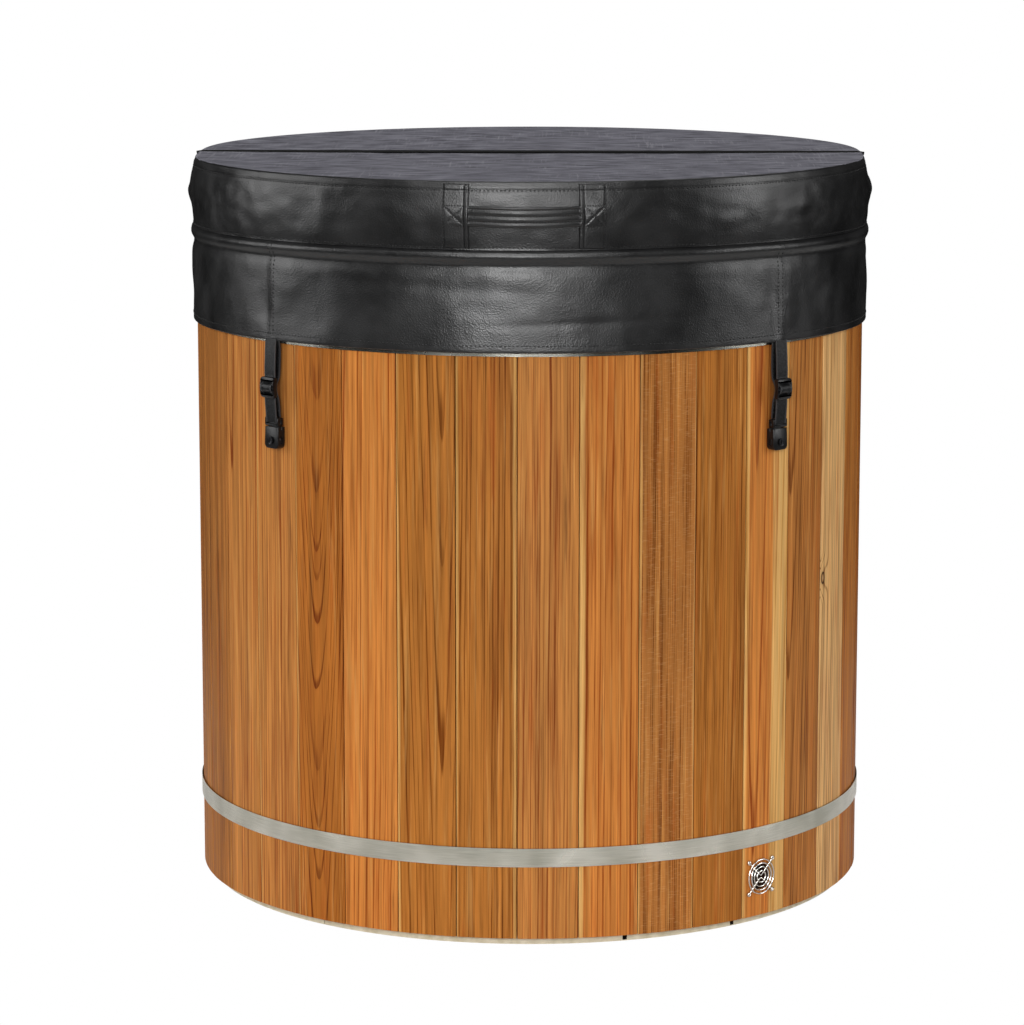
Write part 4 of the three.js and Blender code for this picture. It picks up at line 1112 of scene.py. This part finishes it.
def skirt_radius(degrees, drop):
    """Radius of the skirt at a share of its drop from the lip to the hem."""
    # The run from the lip to the hem, the roll under the lip, the valley below it and the tuck into the seam.
    own = (degrees + 90) % 180 - 90
    hem = hem_sides + hem_flare * math.cos(math.radians(degrees)) ** 2
    ends = bell(from_fold(degrees), 14)
    radius = skirt_top + (hem - skirt_top) * drop - end_draw * ends * (1 - drop)
    radius += roll_depth * (1 - 0.6 * ends) * math.sin(math.pi * min(drop / roll_share, 1) ** 0.85) ** 1.2
    radius -= valley_depth * bell(drop - 0.17, 0.06) + tuck_depth * max(1 - drop / tuck_share, 0)
    # The folds that run down beside each seam, and the seam's double cloth.
    for seam in skirt_seams:
        beside = own - seam
        wave = math.radians(beside * 15) + 3.6 * drop * math.tanh(beside / 2.5)
        radius += drape_depth * bell(beside, 11) * math.sin(math.pi * drop) * math.sin(wave)
        radius += lap_depth * (1 - min(abs(math.radians(beside)) * skirt_round / lap_half, 1) ** 4)
    # Two slanting creases, the uneven hang of the cloth, and the waves at its free ends.
    radius -= crease_depth * bell(drop - 0.74 + 0.002 * own, 0.035) * bell(own - 10, 16)
    radius -= crease_depth * bell(drop - 0.42 - 0.003 * own, 0.06) * bell(own + 14, 20)
    height = drop * skirt_drop
    free = math.sin(math.pi * min(drop * 1.04, 1)) ** 0.7
    radius += 0.0015 * free * wrinkle(degrees, height, 0.13, 0.07)
    radius += 0.0005 * free * wrinkle(degrees, height, 0.035, 0.022)
    radius += wave_depth * bell(90 - abs(own), 12) * free * math.sin(8 * drop + math.radians(own * 14))
    return max(radius, skirt_least)


def skirt_point(degrees, drop, proud=0.0):
    """A point of the skirt's outer face, or one that stands proud of it."""
    top = cover_lip(degrees) + 0.001
    return at(degrees, skirt_radius(degrees, drop) + proud, top + (hem_height(degrees) - top) * drop)


def grid(columns, rows):
    """A flat grid from -1 to 1 both ways, that is left active."""
    begin()
    bpy.ops.mesh.primitive_grid_add(x_subdivisions=columns, y_subdivisions=rows, size=2)
    return bpy.context.object


skirt_rows_down, hem_rows = 46, 6
free_rows = skirt_rows_down - hem_rows
for half, middle in halves.items():
    skirt = grid(300, skirt_rows_down)
    end_degrees = 90 - math.degrees(skirt_end_gap / measured_round)
    for point in skirt.data.vertices:
        degrees = middle + point.co.x * end_degrees
        row = round((1 - point.co.y) / 2 * skirt_rows_down)
        if row <= free_rows:
            point.co = skirt_point(degrees, row / free_rows)
        else:
            bend = math.pi * 0.92 * (row - free_rows) / hem_rows
            hem = skirt_point(degrees, 1.0)
            inward = hem.xy.length - hem_curl * (1 - math.cos(bend))
            point.co = at(degrees, inward, hem.z - hem_curl * math.sin(bend))
    edit_all()
    bpy.ops.mesh.normals_make_consistent(inside=False)
    bpy.ops.object.mode_set(mode="OBJECT")
    if sum(1 if face.normal.xy.dot(face.center.xy) > 0 else -1 for face in skirt.data.polygons) < 0:
        skirt.data.flip_normals()
    use_modifier(skirt, "SOLIDIFY", thickness=vinyl_thickness, offset=-1)
    mark_round(skirt, middle)
    finish_piece(
        f"{half}_skirt_curtain", black_vinyl, f"cover_{half}", [f"{half}_skirt"], 60
    )

# Stitching
# Bonded black thread, sewn in single rows round the binding, along the lip and above the hem, and in double
# rows down each skirt seam. Each stitch is a short grain of thread that dips into the vinyl at its ends.
ply_size = 0.0008
thread = mottled("bonded_black_thread", ply_size, 1.0, [(0, "#070707"), (1, "#131313")], 0.5, ior=1.5)
stitch_width, stitch_lift, stitch_swell, stitch_pitch = 0.0021, 0.0009, 0.8, 0.0062
stitch_above, skirt_stitch_above = 0.0002, 0.0001


def sew(spots, rows):
    """Adds one stitch for each pair of neighbouring spots, given as (point, outward) along a seam."""
    points, faces = rows
    for (start, out), (end, _) in zip(spots[::2], spots[1::2]):
        across = (end - start).normalized().cross(out).normalized()
        first = len(points)
        points.append(start - out * stitch_lift)
        for share in (0.2, 0.8):
            middle = start.lerp(end, share)
            for turn in range(5):
                angle = math.pi * turn / 4
                reach = across * math.cos(angle) * stitch_width / 2 + out * math.sin(angle) * stitch_lift
                points.append(middle + reach * stitch_swell)
        points.append(end - out * stitch_lift)
        faces += [(first, first + 1 + i, first + 2 + i) for i in range(4)]
        faces += [(first + 1 + i, first + 6 + i, first + 7 + i, first + 2 + i) for i in range(4)]
        faces += [(first + 11, first + 7 + i, first + 6 + i) for i in range(4)]


def sew_row(rows, count, parts, place):
    """Sews a row of stitches, each between two parts of a step, where place gives a spot at a step."""
    sew([place(number + part) for number in range(count) for part in parts], rows)


def finish_stitches(name, rows, body):
    """Makes the collected stitches one piece on a body."""
    points, faces = rows
    empty_piece().data.from_pydata(points, [], faces)
    edit_all()
    bpy.ops.mesh.normals_make_consistent(inside=False)
    return finish_piece(name, thread, body, (), 80)


def binding_place(degrees):
    """On the stitch line of the binding."""
    height = cover_top - binding_drop
    return at(degrees, cover_side(degrees, height) + stitch_above, height)


def lip_place(degrees):
    """On the stitch line just above the lip."""
    height = cover_lip(degrees) + 0.0035
    return at(degrees, cover_side(degrees, height) + stitch_above, height)


def hem_place(degrees):
    """On the stitch line just above the hem."""
    return skirt_point(degrees, 0.94)


half_row, seam_stitches, seam_half = 88.5, 22, 0.0042
round_step = math.degrees(stitch_pitch / skirt_round)
for half, middle in halves.items():
    body = f"cover_{half}"
    cover_rows, skirt_rows = ([], []), ([], [])
    for place, rows in ((binding_place, cover_rows), (lip_place, cover_rows), (hem_place, skirt_rows)):

        def round_spot(step):
            """A spot of this row at a step round the tub."""
            degrees = middle - half_row + step * round_step
            return place(degrees), at(degrees, 1, 0)

        sew_row(rows, int(2 * half_row / round_step), (0, 0.66), round_spot)
    finish_stitches(f"{half}_cover_stitching", cover_rows, body)

    for seam in skirt_seams:
        for beside in (-seam_half, seam_half):
            degrees = middle + seam + math.degrees(beside / skirt_round)

            def seam_spot(step):
                """A spot of this seam at a step down the skirt."""
                drop = 0.03 + 0.9 * step / seam_stitches
                return skirt_point(degrees, drop, skirt_stitch_above), at(degrees, 1, 0)

            sew_row(skirt_rows, seam_stitches, (0, 0.62), seam_spot)
    skirt_stitches = finish_stitches(f"{half}_skirt_stitching", skirt_rows, body)

# Handles
# Each half has a carrying handle on its side: a vinyl strap sewn in ribs, whose ends go under two upright
# bands. Each band is folded in at its inner edge and sewn down along both edges, with a crossed box over the
# strap's end.
handle_span, handle_band = 0.160, 0.041
seam_inner, seam_outer = 0.007, 0.039
handle_low, handle_high = cover_bottom + 0.0265, cover_bottom + 0.0565
rib_lines = (0.0, 0.14, 0.46, 0.75, 1.0)
fold_proud, band_proud_flat, seam_sunk, patch_pillow = 0.0034, 0.0019, 0.0008, 0.0008
strap_stand, strap_bow, strap_sag, rib_height = 0.0022, 0.0098, 0.0008, 0.0017
strap_thickness, strap_under_band = 0.0022, 0.004
handle_pitch, handle_parts, rib_stitches = 0.0042, (0.1, 0.78), 38


def beside_handle(middle, sideways):
    """The angle round the tub at a distance beside a handle's middle."""
    return middle + math.degrees(sideways / cover_radius)


def handle_point(middle, sideways, height, proud):
    """A point beside the handle's middle that stands proud of the cover's side."""
    degrees = beside_handle(middle, sideways)
    return at(degrees, cover_side(degrees, height) + proud, height)


def patch_gap(inward, height):
    """Distance from the nearest seam of the crossed box on a band, or -1 outside it."""
    across = (inward - seam_inner) / (seam_outer - seam_inner)
    up = (height - handle_low) / (handle_high - handle_low)
    edges = min(across, 1 - across, up, 1 - up)
    if edges < 0:
        return -1
    crosses = min(abs(across - up), abs(across + up - 1)) * 0.7
    return min(edges, crosses) * (handle_high - handle_low)


def band_proud(inward, height):
    """How far a handle band stands out, at a distance from its inner edge and a height."""
    fold = fold_proud * math.sin(math.pi * clamp(inward / seam_inner)) ** 0.5
    flat = band_proud_flat * clamp((inward - seam_inner) / 0.003) ** 0.5
    proud = max(fold, flat) if inward < seam_outer else band_proud_flat
    seam = seam_sunk * bell(inward - seam_outer, 0.0012)
    tucked = clamp((handle_band - inward) / 0.0012) * clamp(inward / 0.0006)
    gap = patch_gap(inward, height)
    pillow = patch_pillow * (1 - math.exp(-gap / 0.0022)) - 0.0002 if gap >= 0 else 0
    return (proud - seam + pillow) * tucked - 0.001 * (1 - tucked)


def strap_point(middle, sideways, down, proud=0.0):
    """A point of the handle's strap, along it and at a share of the way down it."""
    along = math.cos(math.pi * sideways / handle_span)
    rib = 0.0
    for top, bottom in zip(rib_lines, rib_lines[1:]):
        if top <= down <= bottom:
            rib = rib_height * math.sin(math.pi * (down - top) / (bottom - top)) ** 0.6
    radius = cover_radius + cover_bulge * 0.9 + strap_stand + strap_bow * max(along, 0) + rib + proud
    height = handle_high + (handle_low - handle_high) * down - strap_sag * along
    return at(beside_handle(middle, sideways), radius, height)


for half, middle in halves.items():
    handle_rows = ([], [])
    parts = []
    for side in (-1, 1):
        parts.append(grid(56, 96))
        for point in parts[-1].data.vertices:
            inward = (point.co.x * side + 1) / 2 * handle_band
            sideways = side * (handle_span / 2 + inward)
            share = (point.co.y + 1) / 2
            low, high = cover_lip(beside_handle(middle, sideways)) + 0.0015, cover_top - 0.0035
            height = low + (high - low) * share
            ends = min(share, 1 - share) / 0.02
            proud = band_proud(inward, height) * min(ends, 1) - 0.0006 * max(1 - ends, 0)
            point.co = handle_point(middle, sideways, height, proud)
        seams = (seam_inner, seam_outer)
        runs = [((seam, cover_bottom - 0.006), (seam, cover_top - 0.006)) for seam in seams]
        box = [(seam, height) for seam in seams for height in (handle_low, handle_high)]
        runs += [(box[0], box[2]), (box[1], box[3]), (box[0], box[3]), (box[1], box[2])]
        for start, end in runs:
            count = round((Vector(end) - Vector(start)).length / handle_pitch)

            def band_spot(step):
                """A spot of this seam of the band at a step along it."""
                inward, height = Vector(start).lerp(Vector(end), step / count)
                sideways = side * (handle_span / 2 + inward)
                spot = handle_point(middle, sideways, height, band_proud(inward, height) + stitch_above)
                return spot, at(beside_handle(middle, sideways), 1, 0)

            sew_row(handle_rows, count, handle_parts, band_spot)

    strap = grid(100, 48)
    strap_half = handle_span / 2 + strap_under_band
    for point in strap.data.vertices:
        point.co = strap_point(middle, point.co.x * strap_half, (1 - point.co.y) / 2)
    use_modifier(strap, "SOLIDIFY", thickness=strap_thickness, offset=-1)
    for line in rib_lines[1:-1]:

        def rib_spot(step):
            """A spot of this rib's seam at a step along the strap."""
            sideways = handle_span * (step / rib_stitches - 0.5)
            spot = strap_point(middle, sideways, line, stitch_above)
            return spot, at(beside_handle(middle, sideways), 1, 0)

        sew_row(handle_rows, rib_stitches, handle_parts, rib_spot)
    join_to(strap, parts)
    finish_piece(f"{half}_ribbed_handle", black_vinyl, f"cover_{half}", [f"{half}_handle"], 60)
    finish_stitches(f"{half}_handle_stitching", handle_rows, f"cover_{half}")

# Strap clips
# Four straps hang from the hem and hold the cover down. Each is a doubled length of stitched vinyl that runs
# through a slider to a side-release clip. The clip's lock is fixed to the staves and has a small key.
clip_corners = {"front_left": -45, "front_right": 45, "rear_right": 135, "rear_left": -135}
strap_width, strand_thickness, strap_edge = 0.024, 0.0017, 0.0006
strap_seam, strap_edge_paling = 0.0088, 0.75
slider_middle = 0.834

# Black-plated zinc of the key barrels: dark, with a dull metal shine.
wear_size, wear_tones = 0.003, [(0, "#222224"), (1, "#4a4a4d")]
plated_black = mottled("black_plated_zinc", wear_size, 2.0, wear_tones, 0.34, metallic=1.0)

# The straps are the same vinyl, dulled by handling, and paler grey along their folded edges.
strap_vinyl, tree = new_material("worn_black_strap")
speck_size = 0.0024
specks = noise_at(tree, speck_size, 3.0)
tint = ramp(tree, specks, [(0.45, "#070708"), (0.75, "#2b2b2d")])
tint = blend(tree, read_mark(tree, "edge_paling", "Fac"), tint, "#5a5a5c")
coat(tree, tint, 0.42, normal=bump(tree, specks, 0.4, 0.0008), ior=1.5, specular=0.35)


def smooth_run(knots, steps=8):
    """Points of a smooth run through knots, each given by its radius and its height."""
    ends = [Vector(knot) for knot in (knots[0], *knots, knots[-1])]
    run = []
    for a, b, c, d in zip(ends, ends[1:], ends[2:], ends[3:]):
        square, cube = 2 * a - 5 * b + 4 * c - d, 3 * b - a - 3 * c + d
        for step in range(steps):
            t = step / steps
            run.append(0.5 * (2 * b + (c - a) * t + square * t**2 + cube * t**3))
    return run + [Vector(knots[-1])]


def lay_strand(run, rows, seed):
    """One strand of a strap at the tub's front, along a run, with raised edges and stitches near each."""
    last = len(run) - 1
    strand = grid(20, last)
    sway = [0.0006 * noise.noise(Vector((seed, spot[1] / 0.03, 0.0))) for spot in run]
    rub = []
    for point in strand.data.vertices:
        row = round((1 - point.co.y) / 2 * last)
        out, height = run[row]
        across = point.co.x
        at_edge = bell(abs(across) - 0.95, 0.07)
        point.co = (across * strap_width / 2 + sway[row], -out - strap_edge * at_edge, height)
        # Each strand is coloured paler grey towards its edges.
        rub.append(strap_edge_paling * at_edge)
    mark(strand, "edge_paling", "FLOAT", rub)
    use_modifier(strand, "SOLIDIFY", thickness=strand_thickness, offset=-1)
    for beside in (-strap_seam, strap_seam):
        spots = []
        for first in range(2, last - 3, 2):
            for part in (0, 1.3):
                near_spot, far_spot = run[first + int(part)], run[min(first + int(part) + 1, last)]
                out, height = near_spot.lerp(far_spot, part % 1)
                slope = far_spot - near_spot
                normal = Vector((0, slope[1], slope[0])).normalized()
                spots.append((Vector((beside, -out, height)) + normal * skirt_stitch_above, normal))
        sew(spots, rows)
    return strand


def moulded(sizes, place, eased):
    """A moulded block at the tub's front, with all its edges eased, that is left active."""
    made = block(sizes, place)
    ease(eased, 3)
    return made


def ease_sharp(piece, width):
    """Rounds the sharp edges that are left on a piece."""
    use_modifier(
        piece, "BEVEL", width=width, segments=2, limit_method="ANGLE", angle_limit=math.radians(50)
    )


slider_wide, slider_deep, slider_tall, slider_out = 0.031, 0.0075, 0.032, 0.5522
slider_corner, slider_arch, slider_window, window_off = 0.005, 0.0024, (0.0248, 0.05, 0.0092), 0.0071
bar_half, bar_share, bar_sunk = 0.0115, 0.2, 0.0016
clip_low, clip_high, clip_wide, clip_deep, clip_out = 0.7742, 0.7877, 0.0302, 0.0118, 0.5413
lock_low, lock_high, lock_wide, lock_deep, lock_out = 0.740, 0.773, 0.031, 0.0135, 0.54025
lock_foot, lock_edge, mouth_out = 0.0075, 0.0028, 0.5405
clip_mouth, lock_mouth, mouth_depth = (0.0252, 0.008, 0.02), (0.0252, 0.0072, 0.02), 0.5457
spring_window, spring_off, spring_out = (0.004, 0.0042, 0.007), 0.0150, 0.5408
lock_window, lock_notch, lock_side = (0.007, 0.0062, 0.0110), (0.0025, 0.005, 0.009), 0.0158
button_sizes, button_off = (0.004, 0.0046, 0.0088), 0.0132
barrel_out, barrel_radius, barrel_depth = 0.5487, 0.0058, 0.0028
barrel_height = lock_low + 0.0125
key_slot, slot_out = (0.0014, 0.004, 0.0062), 0.5503
for where, degrees in clip_corners.items():
    turned = math.radians(degrees)
    body = f"{where}_strap_clip"
    top = hem_height(degrees) + 0.001
    rows = ([], [])
    front_run = [(0.5462, top), (0.5478, 0.885), (0.5486, 0.862)]
    over_slider = [(0.5488, 0.0145), (0.5520, 0.0088), (0.5566, 0.0045), (0.5578, 0.0)]
    front_run += [(out, slider_middle + above) for out, above in over_slider]
    front_run += [(out, slider_middle - above) for out, above in over_slider[-2::-1]]
    front_run += [(0.5482, 0.806), (0.5472, 0.791), (0.5456, 0.7795)]
    back_run = [(0.5402, top), (0.5382, 0.893), (0.5384, 0.868), (0.5396, 0.851)]
    behind_bar = [(0.5452, 0.006), (0.5464, 0.0), (0.5452, -0.008)]
    back_run += [(out, slider_middle + above) for out, above in behind_bar]
    back_run += [(0.5410, 0.812), (0.5392, 0.7885)]
    front_strand = lay_strand(smooth_run(front_run), rows, degrees)
    back_strand = lay_strand(smooth_run(back_run), rows, degrees + 3)
    join_to(front_strand, [back_strand])
    front_strand.rotation_euler.z = turned
    finish_piece(f"{where}_doubled_strap", strap_vinyl, body, [f"{where}_strap"], 60)
    stitches = finish_stitches(f"{where}_strap_stitching", rows, body)
    select_only(stitches)
    stitches.rotation_euler.z = turned
    apply_place()

    # The slider is an arched frame with a bar across its middle.
    slider = block((slider_wide, slider_deep, slider_tall), (0, -slider_out, slider_middle))
    ease(slider_corner, 5, lambda middle: abs(middle.x) > 0.015 and abs(middle.z - slider_middle) > 0.0155)
    edit_all()
    for step in range(-6, 7):
        bpy.ops.mesh.select_all(action="SELECT")
        bpy.ops.mesh.bisect(plane_co=(0, 0, slider_middle + step * 0.002), plane_no=(0, 0, 1))
    bpy.ops.object.mode_set(mode="OBJECT")
    for side in (-1, 1):
        cut_away(slider, block(slider_window, (0, -slider_out, slider_middle + side * window_off)))
    ease_sharp(slider, 0.0008)
    for point in slider.data.vertices:
        from_middle = (point.co.z - slider_middle) / slider_tall * 2
        point.co.y += slider_arch * from_middle**2
        if abs(point.co.x) < bar_half and abs(from_middle) < bar_share:
            point.co.y += bar_sunk
    slider.rotation_euler.z = turned
    finish_piece(f"{where}_arched_slider", black_plastic, body, [f"{where}_slider"])

    # The clip is a low block, open at its front for the strap's loop, with a spring window in each side.
    clip_place = (0, -clip_out, (clip_low + clip_high) / 2)
    clip = moulded((clip_wide, clip_deep, clip_high - clip_low), clip_place, 0.002)
    cut_away(clip, block(clip_mouth, (0, -mouth_depth, clip_low + 0.0135)))
    for side in (-1, 1):
        cut_away(clip, moulded(spring_window, (side * spring_off, -spring_out, clip_low + 0.0068), 0.0015))
    ease_sharp(clip, 0.0005)
    clip.rotation_euler.z = turned
    finish_piece(f"{where}_release_clip", black_plastic, body, [f"{where}_clip"])

    # The lock is a rounded block with a mouth at its top, an oval window in each side and a rounded foot.
    lock_place = (0, -lock_out, (lock_low + lock_high) / 2)
    lock = block((lock_wide, lock_deep, lock_high - lock_low), lock_place)
    at_side, at_foot = lock_wide / 2 - 0.0005, lock_low + 0.001
    ease(lock_foot, 6, lambda middle: abs(middle.x) > at_side and middle.z < at_foot)
    above_foot, at_front = lock_low + 0.01, -0.545
    ease(
        lock_edge, 4, lambda middle: abs(middle.x) > at_side and middle.z > above_foot and middle.y < at_front
    )
    cut_away(lock, block(lock_mouth, (0, -mouth_out, lock_high)))
    for side in (-1, 1):
        cut_away(lock, moulded(lock_window, (side * lock_side, -mouth_out, barrel_height), 0.0028))
        cut_away(lock, moulded(lock_notch, (side * lock_side, -mouth_out, lock_high), 0.001))
    ease_sharp(lock, 0.0009)
    button_places = [(side * button_off, -mouth_out, barrel_height) for side in (-1, 1)]
    join_to(lock, [moulded(button_sizes, place, 0.0018) for place in button_places])
    lock.rotation_euler.z = turned
    finish_piece(f"{where}_wall_lock", black_plastic, "tub", [f"{where}_lock"])

    # The key barrel is a raised ring round a plug with a key slot.
    barrel = cylinder(barrel_radius, barrel_depth, (0, -barrel_out, barrel_height), (quarter, 0, 0), 48)
    apply_place()
    pick("polygons", lambda normal: normal.y < -0.9)
    for inset, pushed in ((0.0013, 0.0009), (0.0004, -0.0004)):
        bpy.ops.mesh.inset(thickness=inset)
        bpy.ops.transform.translate(value=(0, pushed, 0))
    bpy.ops.object.mode_set(mode="OBJECT")
    cut_away(barrel, block(key_slot, (0, -slot_out, barrel_height)))
    ease_sharp(barrel, 0.0003)
    barrel.rotation_euler.z = turned
    finish_piece(
        f"{where}_key_plug", plated_black, f"{where}_key", [f"{where}_key_barrel"]
    )
